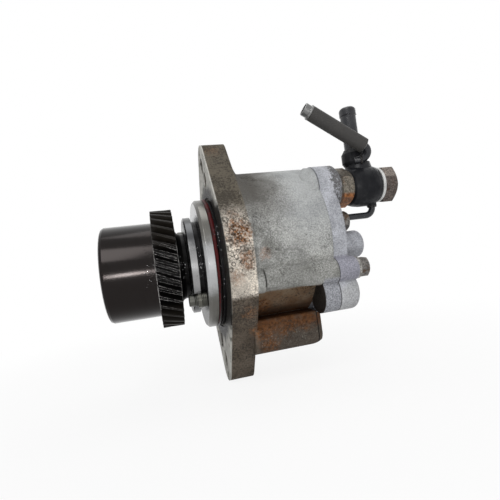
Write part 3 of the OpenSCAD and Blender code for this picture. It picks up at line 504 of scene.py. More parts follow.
    # specks of dirt, thicker on the rim, near the flange and low down
    amount = net.add(net.mul_add(rim, 0.080, -0.030),
                     net.mul_add(smooth, -0.085, net.mul(net.add(top, foot), 0.05)))
    specks = net.use("speckle", at, Scale=620.0, Amount=amount)
    base = net.lay(base, tint.dirt, specks["Mask"], 0.78)
    chips = net.ramp(net.noise(at, 700.0, 4.0, 0.8), 0.58, 0.68)
    low_block = net.mul(block, net.ramp(net.add(z, shake), -0.0500, -0.0560))
    base = net.lay(base, (0.34, 0.33, 0.29), chips, net.mul(low_block, 0.50))
    wear = net.mul(edge["Mask"], net.mul_add(dark, -0.22, 0.30))
    base = net.mix(wear, base, (0.46, 0.45, 0.41))
    # painted shade and oil: the near boss's front face laid near black
    base = net.lay(base, (0.012, 0.011, 0.010), step, 0.93)
    # the mounting face: pale on the ears with dark stains, black round the pilot as oil and painted shade
    radius = net.reach(y, z)
    face = net.ramp(x, 0.0013, 0.0006)
    ragged = net.add(radius, net.mul(shake, 1.6))
    height_off = net.add(net.absolute(net.add(z, 0.003)), net.mul(shake, 1.4))
    ring = net.most(net.ramp(ragged, 0.064, 0.056), net.mul(net.ramp(ragged, 0.0745, 0.0655),
                                                            net.ramp(height_off, 0.046, 0.039)))
    stains = net.ramp(net.noise(at, 95.0, 5.0, 0.7), 0.52, 0.66)
    pale = shades(net, net.ramp(tone, 0.30, 0.70), (0.60, 0.59, 0.55), 0.80, 1.15)
    pale = net.lay(pale, (0.050, 0.048, 0.036), stains, 0.80)
    base = net.lay(base, pale, face, 0.9)
    # painted shade and oil: near black round the pilot and across the middle of the face
    base = net.lay(base, (0.0085, 0.0075, 0.0065), face, net.mul(ring, 0.97))
    wet = net.mul(face, ring)
    rough = net.mul_add(specks["Broad"], 0.25, 0.50)
    rough = net.mix(wet, rough, 0.30)
    height = net.add(net.mul(grain["Height"], 0.8), net.mul(specks["Mask"], 0.6))
    return net.finish(Base_Color=base, Roughness=rough, Metallic=net.mul(net.rest(wet), 0.12),
                      Normal=net.bump(height, 0.00022, 0.9, edge["Normal"]), Specular_IOR_Level=0.02)


def cast_cover():
    """Cover casting: paler and slightly violet, the ears most of all, specked on the bosses."""
    tint, size = settings()
    net, at = material("aged cover casting")
    x, y, z = net.split(at)
    grain = net.use("grain", at, Scale=0.6 / size.grain)
    edge = net.use("edge", at, Radius=size.soft_edge, Scale=350.0)
    tone = net.noise(at, 60.0, 4.0, 0.62)
    shake = net.mul_add(tone, 0.02, -0.01)
    base = shades(net, net.ramp(tone, 0.30, 0.70), tint.cover, 0.72, 1.16)
    violet = net.mul(net.mul(net.ramp(z, -0.0260, -0.0240), net.ramp(z, -0.0060, -0.0080)),
                     net.ramp(net.absolute(y), 0.0480, 0.0530))
    base = net.lay(base, (0.225, 0.220, 0.270), violet, 0.7)
    low = net.ramp(net.add(z, shake), -0.0240, -0.0300)
    base = net.lay(base, (0.37, 0.37, 0.35), low, 0.45)
    base = net.mix(0.45, base, net.mix(grain["Salt"], net.times(base, 0.5), net.times(base, 1.5)))
    # dirt gathers on the end of the inlet boss and behind the bosses
    mouth = net.mul(net.ramp(net.add(x, shake), 0.0850, 0.0930), net.ramp(z, 0.020, 0.030))
    behind = net.mul(net.ramp(x, 0.0880, 0.0895), net.ramp(x, 0.0960, 0.0900))
    amount = net.add(net.mul_add(low, 0.05, -0.090), net.add(net.mul(mouth, 0.27), net.mul(behind, 0.04)))
    specks = net.use("speckle", at, Scale=560.0, Amount=amount)
    base = net.lay(base, tint.dirt, specks["Mask"], 0.80)
    base = net.lay(base, (0.50, 0.50, 0.51), edge["Mask"], 0.25)
    height = net.add(net.mul(grain["Height"], 0.7), net.mul(specks["Mask"], 0.6))
    return net.finish(Base_Color=base, Metallic=0.12, Roughness=net.mul_add(specks["Broad"], 0.25, 0.46),
                      Normal=net.bump(height, 0.00020, 0.8, edge["Normal"]), Specular_IOR_Level=0.30)


def turned_steel(name, base, rough=0.28, oil=0.5, marks=0.10, scale=5000.0, worn=1.45):
    """Turned steel: lathe marks in the height and the tone, darker where oil lies. Its edges are worn
    times as bright as the rest."""
    net, at = material(name)
    lathe = net.use("turned", at, Scale=scale)
    edge = net.use("edge", at, Radius=0.0005, Scale=500.0)
    smear = net.use("oil", at, Scale=55.0, Amount=oil)
    tone = shades(net, lathe["Marks"], base, 0.80, 1.12)
    tone = net.lay(tone, net.times(base, 0.28), smear["Mask"], 0.55)
    tone = net.lay(tone, net.times(base, worn), edge["Mask"], 0.40)
    return net.finish(Base_Color=tone, Metallic=1.0,
                      Roughness=net.mul_add(lathe["Marks"], 0.14, rough - 0.05),
                      Coat_Weight=net.mul(smear["Mask"], 0.2),
                      Normal=net.bump(lathe["Height"], 0.00003, marks * 5.0, edge["Normal"]),
                      Coat_Roughness=0.18)


def oily_black(name, base, rough=0.45, grain=1400.0, coat=0.25, worn=(0.10, 0.095, 0.09), level=0.22):
    """Black finish under old oil: fine grain, dull dusty patches, bright worn edges."""
    net, at = material(name)
    cast = net.use("grain", at, Scale=grain)
    edge = net.use("edge", at, Radius=0.0005, Scale=450.0)
    smear = net.use("oil", at, Scale=70.0, Amount=coat)
    dust = net.use("speckle", at, Scale=900.0, Amount=-0.07)
    tone = shades(net, dust["Broad"], base, 0.8, 2.2)
    tone = net.lay(tone, (0.075, 0.070, 0.064), dust["Mask"], 0.30)
    tone = net.lay(tone, worn, edge["Mask"], 0.35)
    return net.finish(Base_Color=tone, Metallic=0.0,
                      Roughness=net.mul_add(dust["Broad"], 0.30, rough - 0.1), Coat_Weight=smear["Mask"],
                      Normal=net.bump(cast["Height"], 0.00010, 0.7, edge["Normal"]), Coat_Roughness=0.22,
                      Specular_IOR_Level=level)


def rusty_steel(name, base, rust, much=0.5, rough=0.42, metallic=0.75, low_rust=None, black_to=None,
                pale_from=None):
    """Plated steel that has begun to rust: plate colour in fine grain, rust from a broken noise, worn
    edges, black grime in patches. low_rust is a height under which the rust is thick and orange,
    black_to an x before which oily grime covers it, pale_from a height above which it is painted paler,
    as upper facets lit from above."""
    net, at = material(name)
    x, y, z = net.split(at)
    cast = net.use("grain", at, Scale=1100.0)
    edge = net.use("edge", at, Radius=0.0006, Scale=500.0)
    spread = net.ramp(net.noise(at, 190.0, 5.0, 0.7), 0.72 - 0.4 * much, 0.86 - 0.4 * much)
    tone = shades(net, net.ramp(net.noise(at, 640.0, 4.0, 0.7), 0.36, 0.64), base, 0.42, 1.35)
    tone = net.mix(spread, tone, shades(net, net.noise(at, 700.0, 3.0, 0.7), rust, 0.40, 1.0))
    if low_rust is not None:
        under = net.ramp(net.add(z, net.mul_add(cast["Pits"], 0.002, -0.001)), low_rust + 0.0012,
                         low_rust - 0.0012)
        tone = net.mix(under, tone, rust_tone(net, at, (0.33, 0.130, 0.045)))
    # painted light: above the height given, the tone is laid paler, as upper facets lit from above
    if pale_from is not None:
        tone = net.lay(tone, shades(net, cast["Salt"], (0.25, 0.215, 0.19), 0.5, 1.5),
                       net.ramp(z, pale_from - 0.0006, pale_from + 0.0006), 0.8)
    grime = net.ramp(net.noise(at, 330.0, 4.0, 0.7), 0.56, 0.66)
    if black_to is not None:
        edge_at = net.add(x, net.mul_add(cast["Height"], 0.0010, -0.0010))
        grime = net.math("MAXIMUM", grime, net.mul(net.ramp(edge_at, black_to + 0.0006, black_to - 0.0006),
                                                   1.5), clamp=True)
    tone = net.lay(tone, (0.022, 0.019, 0.017), grime, 0.62)
    tone = net.lay(tone, net.times(base, 1.7), edge["Mask"], 0.45)
    return net.finish(Base_Color=tone, Metallic=net.mul_add(spread, -0.6 * metallic, metallic),
                      Roughness=net.mul_add(spread, 0.35, rough),
                      Normal=net.bump(cast["Height"], 0.00010, 0.9, edge["Normal"]))


def ring_steel(name, base, dull, inner, below, oil_and_shade_x=None, lug=None):
    """A ground ring under oil: the rim beyond the radius inner is painted bright at middle height and turns
    to dull above and below, as a painted reflection. Within inner it is black, as oil and painted shade,
    but only lower than below. The rest of its front stays pale. oil_and_shade_x is an x past which the rim
    is black too, as oil and the painted shade of the groove, and lug a radius past which the metal is dull
    everywhere."""
    net, at = material(name)
    x, y, z = net.split(at)
    lathe = net.use("turned", at, Scale=5200.0)
    edge = net.use("edge", at, Radius=0.0005, Scale=500.0)
    shake = net.noise(at, 130.0, 4.0, 0.7)
    rim = net.ramp(net.reach(y, z), inner - 0.0005, inner + 0.0001)
    tone = shades(net, lathe["Marks"], base, 0.80, 1.14)
    # painted reflection: the rim is laid to the darker colour dull away from middle height
    away = net.add(net.absolute(net.add(z, 0.004)), net.mul_add(shake, 0.012, -0.006))
    tone = net.lay(tone, dull, net.mul(rim, net.ramp(away, 0.009, 0.024)), 0.88)
    if lug is not None:
        tone = net.lay(tone, shades(net, shake, (0.110, 0.108, 0.092), 0.6, 1.3),
                       net.ramp(net.reach(y, z), lug, lug + 0.0006), 0.9)
    specks = net.use("speckle", at, Scale=700.0, Amount=-0.05)
    tone = net.lay(tone, (0.030, 0.028, 0.025), specks["Mask"], 0.45)
    # painted shade and oil: black inside the rim below a height, and past the x oil_and_shade_x where the
    # groove lies
    black = net.mul(net.rest(rim), net.ramp(net.add(z, net.mul_add(shake, 0.010, -0.005)), below + 0.003,
                                            below - 0.003))
    if oil_and_shade_x is not None:
        black = net.most(black, net.ramp(x, oil_and_shade_x - 0.0001, oil_and_shade_x + 0.0001))
    tone = net.lay(tone, (0.0060, 0.0055, 0.0060), black, 0.985)
    tone = net.lay(tone, net.times(base, 1.45), edge["Mask"], net.mul_add(black, -0.30, 0.40))
    height = net.add(net.mul(lathe["Height"], 0.6), net.mul(black, net.noise(at, 420.0, 2.0, 0.5)))
    return net.finish(Base_Color=tone, Metallic=net.mul_add(black, -1.0, 1.0),
                      Roughness=net.mul_add(lathe["Marks"], 0.12, 0.20),
                      Normal=net.bump(height, 0.00004, 0.6, edge["Normal"]), Specular_IOR_Level=0.10)


def sealing_ring(name, base, black_from):
    """Red rubber under oil: dark flecks, a slow change of tone, and black past the x black_from, as oil
    and painted shade beside the flange.
    """
    net, at = material(name)
    x, y, z = net.split(at)
    cast = net.use("grain", at, Scale=1500.0)
    slow = net.noise(at, 85.0, 3.0, 0.6)
    tone = shades(net, net.ramp(slow, 0.35, 0.65), base, 0.60, 1.45)
    flecks = net.ramp(net.noise(at, 620.0, 4.0, 0.8), 0.50, 0.60)
    tone = net.lay(tone, (0.009, 0.006, 0.006), flecks, 0.80)
    # painted shade and oil: black past a slanted border on the side next to the flange
    border = net.add(net.mul_add(z, -0.034, x), net.mul_add(net.noise(at, 260.0, 4.0, 0.7), 0.0026,
                                                            -0.0013))
    black = net.ramp(border, black_from - 0.0002, black_from + 0.0002)
    tone = net.lay(tone, (0.0060, 0.0055, 0.0055), black, 0.96)
    return net.finish(Base_Color=tone, Roughness=net.mul_add(black, -0.15, 0.42),
                      Normal=net.bump(net.add(cast["Height"], cast["Pits"]), 0.00012, 0.8),
                      Specular_IOR_Level=0.12)


def oil_drop(name):
    """A drop of old oil: nearly black brown and mirror smooth. Some drops are pale mirror metal, painted in
    as glints.
    """
    net, at = material(name)
    # painted glints: where this noise is high the drop is pale mirror metal and shines white
    bright = net.ramp(net.noise(at, 420.0, 2.0, 0.5), 0.46, 0.54)
    tone = net.mix(bright, (0.012, 0.010, 0.008), (0.82, 0.82, 0.84))
    return net.finish(Base_Color=tone, Metallic=net.mul(bright, 0.9),
                      Roughness=net.mul_add(net.noise(at, 900.0, 2.0, 0.5), 0.05, 0.03))


def plain_rubber(name, base, rough=0.5, spread=1.8, level=0.35):
    """Rubber or polymer: slow change of tone, fine grain and a dusty bloom."""
    net, at = material(name)
    cast = net.use("grain", at, Scale=2600.0)
    dust = net.use("speckle", at, Scale=1100.0, Amount=-0.10)
    tone = shades(net, dust["Broad"], base, 0.7, spread)
    tone = net.lay(tone, net.times(base, 2.2), dust["Mask"], 0.35)
    return net.finish(Base_Color=tone, Roughness=net.mul_add(dust["Broad"], 0.2, rough),
                      Normal=net.bump(cast["Height"], 0.00003, 0.35), Specular_IOR_Level=level)


def drive_gear_steel():
    """Drive gear: dark ground hub with fine marks round it, black oil in the teeth, bright edges of the
    flanks as wear and a painted highlight strongest at middle height, and small drops of oil near the
    teeth. The radius parts the hub from the teeth."""
    tint = settings()[0]
    net, at = material("drive gear steel")
    x, y, z = net.split(at)
    radius = net.reach(y, z)
    lathe = net.use("turned", at, Scale=7000.0)
    edge = net.use("edge", at, Radius=0.0006, Scale=700.0)
    teeth = net.mul(net.ramp(x, HUB_END - 0.0004, HUB_END + 0.0004), net.ramp(radius, 0.0352, 0.0364))
    back = net.ramp(x, TOOTH_END - 0.0006, TOOTH_END + 0.0006)
    oily = net.most(teeth, back)
    base = shades(net, lathe["Marks"], tint.hub, 0.75, 1.35)
    smear = net.use("oil", at, Scale=45.0, Amount=0.6)
    base = net.lay(base, (0.018, 0.014, 0.013), smear["Mask"], 0.45)
    base = net.mix(oily, base, (0.0030, 0.0028, 0.0028))
    middle = net.ramp(net.absolute(net.add(z, 0.006)), 0.026, 0.016)
    # painted highlight and wear: flank edges laid near white, most at middle height where they catch the
    # light
    lip = net.mul(edge["Mask"], net.mul_add(net.mul(teeth, middle), 0.90, 0.10))
    base = net.lay(base, (0.0125, 0.0105, 0.0085), teeth, net.rest(middle))
    base = net.mix(lip, base, (0.78, 0.76, 0.74))
    # drops and dried specks on the hub beside the teeth
    near = net.mul(net.ramp(x, HUB_END - 0.016, HUB_END - 0.002), net.ramp(x, HUB_END, HUB_END - 0.001))
    wet = net.mul(near, net.ramp(net.cells(at, 480.0), 0.34, 0.20))
    base = net.lay(base, (0.010, 0.009, 0.009), wet, 0.75)
    drops = net.noise(at, 700.0, 3.0, 0.6)
    height = net.add(net.mul(lathe["Height"], 0.25), net.add(net.mul(net.mul(drops, oily), 1.2), wet))
    return net.finish(Base_Color=base, Metallic=net.mul_add(oily, -1.0, 1.0),
                      Roughness=net.add(net.mul_add(lathe["Marks"], 0.08, 0.12), net.mul(oily, 0.12)),
                      Coat_Weight=net.mul(wet, 0.06), Normal=net.bump(height, 0.00005, 0.6, edge["Normal"]),
                      Coat_Roughness=0.12, Specular_IOR_Level=0.07)


def seen_straight(net):
    """1 for rays of the camera, of mirrors and of clear pieces, 0 for the rest."""
    path = net.tree.nodes.new("ShaderNodeLightPath")
    return net.most(path.outputs["Is Camera Ray"], net.most(path.outputs["Is Glossy Ray"],
                                                            path.outputs["Is Transmission Ray"]))


def floor_finish():
    """White floor that fades into the white backdrop away from the pump."""
    net, at = material("floor")
    tone = net.mix(net.noise(at, 3.0, 2.0), (0.80, 0.80, 0.80), (0.83, 0.83, 0.83))
    net.finish(Base_Color=tone, Roughness=0.8)
    glow = net.node("ShaderNodeEmission", Strength=1.0)
    mixer = net.tree.nodes.new("ShaderNodeMixShader")
    x, y, z = net.split(at)
    fade = net.ramp(net.reach(x, y), 0.12, 0.42, 0.88, 1.0)
    net.put(mixer.inputs[0], net.mul(seen_straight(net), fade))
    net.tree.links.new(net.tree.nodes["Principled BSDF"].outputs[0], mixer.inputs[1])
    net.tree.links.new(glow, mixer.inputs[2])
    net.tree.links.new(mixer.outputs[0], net.tree.nodes["Material Output"].inputs["Surface"])
    return net.owner


# ---- fine pieces, worked out with numpy ----------------------------------

def shaped(name, points, faces, mat, body):
    """A new smooth object from points in metres and lists of corners, which rides on a body."""
    mesh = bpy.data.meshes.new(name)
    mesh.from_pydata(points.reshape(-1, 3).tolist(), [], faces)
    mesh.polygons.foreach_set("use_smooth", np.ones(len(faces), dtype=bool))
    mesh.materials.append(mat)
    mesh.update()
    o = bpy.data.objects.new(name, mesh)
    bpy.context.scene.collection.objects.link(o)
    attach(o, body)
    return o


def piece(name, points, quads, mat, body):
    """A shaped object from faces of four. They are turned to face outwards if six times their volume,
    the sum of a . (b x c) + a . (c x d), is below zero."""
    a, b, c, d = (points[quads[:, k]] for k in range(4))
    volume = np.einsum("ij,ij->", a, np.cross(b, c)) + np.einsum("ij,ij->", a, np.cross(c, d))
    outward = quads[:, ::-1] if volume < 0.0 else quads
    return shaped(name, points, outward.tolist(), mat, body)


def closed_grid(rows, cols, start=0):
    """Faces of a grid whose rows and columns both run round and meet themselves."""
    i, j = np.meshgrid(np.arange(rows), np.arange(cols), indexing="ij")
    i2, j2 = (i + 1) % rows, (j + 1) % cols
    return start + np.stack([i * cols + j, i * cols + j2, i2 * cols + j2, i2 * cols + j], -1).reshape(-1, 4)


def bead_points(centre, axis, radius, thick, rows, cols):
    """A braze bead, in metres: a ring round axis, P(a, b) = centre + (R + s(a) cos b) e(a) + s(a) sin b
    axis, where its thickness runs in waves, s(a) = thick (1 + 0.2 sin 7a + 0.13 sin(17a + 1))."""
    axis = np.asarray(axis, float) / np.linalg.norm(axis)
    u = np.cross(axis, (0.31, 0.87, 0.39))
    u /= np.linalg.norm(u)
    w = np.cross(axis, u)
    a = np.linspace(0.0, 2.0 * np.pi, rows, endpoint=False)[:, None]
    b = np.linspace(0.0, 2.0 * np.pi, cols, endpoint=False)[None, :]
    s = thick * (1.0 + 0.20 * np.sin(7.0 * a) + 0.13 * np.sin(17.0 * a + 1.0))
    out = radius + s * np.cos(b)
    e = np.cos(a)[..., None] * u + np.sin(a)[..., None] * w
    return (np.asarray(centre) + out[..., None] * e + (s * np.sin(b))[..., None] * axis).reshape(-1, 3)


def spacer_points(turn, pitch, x0, x1, middle=0.0378, neck=0.0342, rows=48, cols=96):
    """A ridged spacer round a retaining screw, in metres. Its outer radius is the smaller of the ridges,
    5.6 mm + 0.3 mm |sin(pi x / pitch)|, and of the way to the carrier's neck, t(f) = m cos f -
    sqrt(n^2 - (m sin f)^2) where a ray at the angle f from the inward side meets it. Its bore is 2.7 mm."""
    f = np.linspace(-np.pi, np.pi, cols, endpoint=False)[None, :]
    inside = neck ** 2 - (middle * np.sin(f)) ** 2
    meets = (inside > 0.0) & (np.cos(f) > 0.0)
    reach = np.where(meets, middle * np.cos(f) - np.sqrt(np.where(meets, inside, 0.0)), 1.0)
    along = np.linspace(x0, x1, rows)[:, None]
    ridge = 0.0056 + 0.0003 * np.abs(np.sin(np.pi * (along - x0) / pitch))
    outer = np.minimum(ridge, reach)
    lip = np.array([[x1], [x1], [x0], [x0]]) + np.zeros_like(f)
    bore = np.full((4, 1), 0.0027) + np.zeros_like(f)
    lip[1], lip[2] = x1 - 0.0004, x0 + 0.0004
    r = np.concatenate([outer, bore])
    x = np.concatenate([along + np.zeros_like(f), lip])
    a = f + turn + np.pi
    centre = middle * np.array([np.cos(turn), np.sin(turn)])
    return np.stack([x, centre[0] + r * np.cos(a), centre[1] + r * np.sin(a)], -1).reshape(-1, 3), len(r)


def spring_mesh(centre, low, high, coil, wire, turns, rows=240, cols=10):
    """A compression spring with nearly flat end turns, in metres, as points and faces. Its wire's middle
    runs on (c_x + R cos a, c_y + R sin a, l + w + (h - l - 2 w) s(t)), where a = 2 pi n t and the rise
    s(t) = t - 0.11 sin(2 pi t) is slow at both ends. The tube round it adds w cos b outwards and
    w sin b upwards, and each end is closed at its middle point."""
    t = np.linspace(0.0, 1.0, rows)[:, None]
    b = np.linspace(0.0, 2.0 * np.pi, cols, endpoint=False)[None, :]
    a = 2.0 * np.pi * turns * t
    rise = low + wire + (high - low - 2.0 * wire) * (t - 0.11 * np.sin(2.0 * np.pi * t))
    r = coil + wire * np.cos(b)
    tube = np.stack([centre[0] + r * np.cos(a), centre[1] + r * np.sin(a), rise + wire * np.sin(b)], -1)
    ends = tube[[0, -1]].mean(axis=1)
    i, j = np.meshgrid(np.arange(rows - 1), np.arange(cols), indexing="ij")
    j2 = (j + 1) % cols
    side = np.stack([i * cols + j, (i + 1) * cols + j, (i + 1) * cols + j2, i * cols + j2], -1)
    k, k2, last = np.arange(cols), (np.arange(cols) + 1) % cols, (rows - 1) * cols
    first = np.stack([k, k2, 0 * k + rows * cols], -1)
    final = np.stack([last + k2, last + k, 0 * k + rows * cols + 1], -1)
    return (np.concatenate([tube.reshape(-1, 3), ends]), [*side.reshape(-1, 4).tolist(), *first.tolist(),
                                                          *final.tolist()])


def drop_shape(rings=4, around=9):
    """A flattened ball with closed poles: z = 0.45 cos u, its radius sin u, as points and faces of four.
    The faces at the poles end in one point."""
    u = np.linspace(0.0, np.pi, rings + 2)[1:-1][:, None]
    v = np.linspace(0.0, 2.0 * np.pi, around, endpoint=False)[None, :]
    grid = np.stack([np.sin(u) * np.cos(v), np.sin(u) * np.sin(v), 0.45 * np.cos(u) + 0.0 * v], -1)
    points = np.concatenate([[[0.0, 0.0, 0.45]], grid.reshape(-1, 3), [[0.0, 0.0, -0.45]]])
    j = np.arange(around)
    j2 = (j + 1) % around
    top = np.stack([0 * j, 1 + j, 1 + j2], -1)
    last = 1 + (rings - 1) * around
    foot = np.stack([0 * j + last + around, last + j2, last + j], -1)
    i = np.arange(rings - 1)[:, None] * around + 1
    side = np.stack([i + j, i + around + j, i + around + j2, i + j2], -1).reshape(-1, 4)
    return points, [*top.tolist(), *foot.tolist(), *side.tolist()]


def drops(name, mat, body, slot, nodes, x_range, turn_range, count, size, seed):
    """Oil drops on the outside of CAD nodes: a ray from far out towards the axis finds the surface and
    its normal n, and each drop is P = hit + s (p_x t + p_y (n x t) + p_z n), where s is its radius."""
    rng = np.random.default_rng(seed)
    trees = [BVHTree.FromObject(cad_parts[n], bpy.context.evaluated_depsgraph_get()) for n in nodes]
    xs = rng.uniform(*x_range, count)
    turns = np.radians(rng.uniform(*turn_range, count))
    spots, normals = [], []
    for x, a in zip(xs, turns):
        out = Vector((0.0, math.cos(a), math.sin(a)))
        best = None
        for tree in trees:
            hit, normal, index, far = tree.ray_cast(Vector((x, 0.0, 0.0)) + out * RAY_START, -out)
            if hit is not None and (best is None or far < best[2]):
                best = (hit, normal, far)
        if best is not None and best[1].dot(out) > FACING:
            spots.append(best[0][:])
            normals.append(best[1][:])
    if not spots:
        raise RuntimeError(f"{name}: no drop found the surface")
    spots, normals = np.array(spots), np.array(normals)
    t = np.cross(normals, (1.0, 0.0, 0.0))
    t /= np.linalg.norm(t, axis=1)[:, None]
    w = np.cross(normals, t)
    scale = rng.uniform(*size, len(spots))
    shape, faces = drop_shape()
    points = spots[:, None, :] + scale[:, None, None] * (
        shape[None, :, :1] * t[:, None, :] + shape[None, :, 1:2] * w[:, None, :]
        + shape[None, :, 2:] * normals[:, None, :])
    every = [[v + k * len(shape) for v in face] for k in range(len(spots)) for face in faces]
    return shaped(name, points, every, mat, body)


# ---- operators, one for each group of pieces -----------------------------

class Step(bpy.types.Operator):
    """One group of pieces."""
    bl_idname = "pump.step"
    bl_label = "Step"
    bl_options = {"REGISTER", "UNDO"}

    def execute(self, context):
        self.make(*settings())
        return {"FINISHED"}


class PUMP_OT_castings(Step):
    """Finish the body casting and the rear cover"""
    bl_idname = "pump.castings"
    bl_label = "Castings"

    def make(self, tint, size):
        dress(cast_body(), "front_body")
        dress(cast_cover(), "rear_cover")
        dress(plain_rubber("cover gasket", (0.03, 0.03, 0.032), 0.6), "cover_gasket")


class PUMP_OT_drive_end(Step):
    """Finish the drive gear, the shaft, its nut and keys"""
    bl_idname = "pump.drive_end"
    bl_label = "Drive end"

    def make(self, tint, size):
        dress(drive_gear_steel(), "helical_gear")
        dress(turned_steel("shaft steel", (0.34, 0.33, 0.33), 0.26, 0.6), "drive_shaft", "gear_key",
              "pump_gear_key")
        dress(turned_steel("nut steel", (0.22, 0.21, 0.21), 0.35, 0.7), "shaft_nut", "lock_washer")


class PUMP_OT_bearing(Step):
    """Finish the bearing, its carrier, the retaining ring and the seals"""
    bl_idname = "pump.bearing"
    bl_label = "Bearing and seals"

    def make(self, tint, size):
        dress(ring_steel("carrier steel", tint.steel, (0.085, 0.080, 0.068), 0.0480, 0.034, -0.0018),
              "bearing_carrier")
        dress(ring_steel("retainer steel", (0.30, 0.30, 0.30), (0.045, 0.047, 0.050), 0.0300, -0.090,
                         lug=0.0377), "retainer_ring")
        dress(turned_steel("screw steel", (0.10, 0.10, 0.09), 0.32, 0.7, worn=3.0), "retainer_screws")
        dress(turned_steel("race steel", (0.66, 0.66, 0.67), 0.14, 0.3, 0.04), "bearing_outer_race",
              "bearing_inner_race", "bearing_balls")
        dress(turned_steel("cage brass", (0.60, 0.42, 0.18), 0.30, 0.4), "bearing_cage")
        dress(sealing_ring("red sealing ring", tint.seal, -0.0030), "pilot_oring")
        dress(plain_rubber("shaft seal rubber", (0.015, 0.015, 0.016), 0.4), "shaft_seal")


class PUMP_OT_retainer_spacers(Step):
    """Make the ridged spacers round the two retaining screws"""
    bl_idname = "pump.retainer_spacers"
    bl_label = "Retainer spacers"

    def make(self, tint, size):
        points, faces, start = [], [], 0
        for turn in SPACER_TURNS:
            p, rows = spacer_points(math.radians(turn), size.ridge, *SPACER_X)
            points.append(p)
            faces.append(closed_grid(rows, len(p) // rows, start))
            start += len(p)
        piece("retainer_spacers", np.concatenate(points), np.concatenate(faces),
              turned_steel("spacer steel", (0.095, 0.094, 0.082), 0.30, 0.7, worn=8.0), "housing")


class PUMP_OT_oil_drops(Step):
    """Put drops of oil on the hub beside the teeth, on the necks and round the pilot"""
    bl_idname = "pump.oil_drops"
    bl_label = "Oil drops"

    def make(self, tint, size):
        wet = oil_drop("old oil")
        for name, body, slot, nodes, x_range, turn_range, radius, seed in OILY:
            drops(name, wet, body, slot, nodes, x_range, turn_range, size.drops, radius, seed)


class PUMP_OT_braze_beads(Step):
    """Make the braze beads of the fitting's pipes"""
    bl_idname = "pump.braze_beads"
    bl_label = "Braze beads"

    def make(self, tint, size):
        rows, cols = 96, 10
        points = [bead_points(c, a, r, size.braze, rows, cols) for c, a, r in BRAZED]
        faces = [closed_grid(rows, cols, k * rows * cols) for k in range(len(BRAZED))]
        piece("braze_beads", np.concatenate(points), np.concatenate(faces),
              oily_black("braze black", (0.014, 0.012, 0.011), 0.36), "housing")


class PUMP_OT_pump_gears(Step):
    """Finish the pump gears, their bushes, the relief valve and the dowels"""
    bl_idname = "pump.pump_gears"
    bl_label = "Pump gears and valve"

    def make(self, tint, size):
        dress(turned_steel("ground gear steel", (0.48, 0.48, 0.49), 0.22, 0.5, 0.05), "pump_drive_gear",
              "pump_driven_gear", "locating_dowels", "valve_spool")
        dress(turned_steel("bush bronze", (0.50, 0.34, 0.16), 0.30, 0.5), "front_bush", "rear_bush")
        dress(turned_steel("drawn spring wire", (0.30, 0.30, 0.31), 0.30, 0.6), "valve_spring")
        dress(rusty_steel("plug steel", (0.20, 0.19, 0.18), (0.16, 0.06, 0.02), 0.5), "valve_plug")


class PUMP_OT_relief_spring(Step):
    """Make the relief valve's spring, in place of the CAD node's spring"""
    bl_idname = "pump.relief_spring"
    bl_label = "Relief spring"

    def make(self, tint, size):
        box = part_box("valve_spring")
        low, high = float(box[0][2]), float(box[1][2])
        points, faces = spring_mesh(SPRING_AXIS, low, high, coil=0.0048, wire=0.0007, turns=5.0)
        wire = turned_steel("spring steel", (0.30, 0.30, 0.31), 0.30, 0.6)
        o = shaped("relief_spring", points, faces, wire, "housing")
        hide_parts("valve_spring")
        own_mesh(o)


class PUMP_OT_fasteners(Step):
    """Finish the cover's bolts and washers"""
    bl_idname = "pump.fasteners"
    bl_label = "Cover bolts"

    def make(self, tint, size):
        dress(rusty_steel("bolt steel", (0.16, 0.15, 0.14), (0.13, 0.08, 0.05), 0.55), "cover_bolts")
        dress(rusty_steel("washer steel", (0.34, 0.33, 0.31), (0.16, 0.10, 0.06), 0.4), "bolt_washers")


class PUMP_OT_fitting(Step):
    """Finish the inlet fitting, its washers and its hollow bolt"""
    bl_idname = "pump.fitting"
    bl_label = "Inlet fitting"

    def make(self, tint, size):
        dress(rusty_steel("plated adaptor", (0.185, 0.165, 0.135), (0.16, 0.085, 0.045), 0.40,
                          low_rust=0.0375, black_to=0.0990), "inlet_adaptor", "inner_washer")
        dress(oily_black("fitting black", tint.paint, 0.40, level=0.09), "banjo_body")
        dress(plain_rubber("pale washer", (0.70, 0.70, 0.69), 0.45, 1.15), "outer_washer")
        # the hollow bolt's upper facets are painted paler, as lit from above
        dress(rusty_steel("hollow bolt steel", (0.105, 0.085, 0.075), (0.085, 0.045, 0.028), 0.5,
                          pale_from=0.0490), "banjo_bolt")


class PUMP_OT_pipes(Step):
    """Finish the two upper pipes, the sleeve and the thin pipe"""
    bl_idname = "pump.pipes"
    bl_label = "Pipes"

    def make(self, tint, size):
        dress(oily_black("pipe black", (0.0070, 0.0074, 0.0100), 0.19, level=0.42), "suction_pipe",
              "drain_pipe", "return_elbow")
        dress(turned_steel("bare pipe end", (0.29, 0.29, 0.285), 0.34, 0.9), "return_pipe")
        dress(plain_rubber("grey sleeve", (0.042, 0.040, 0.038), 0.62, 1.5), "pipe_sleeve")


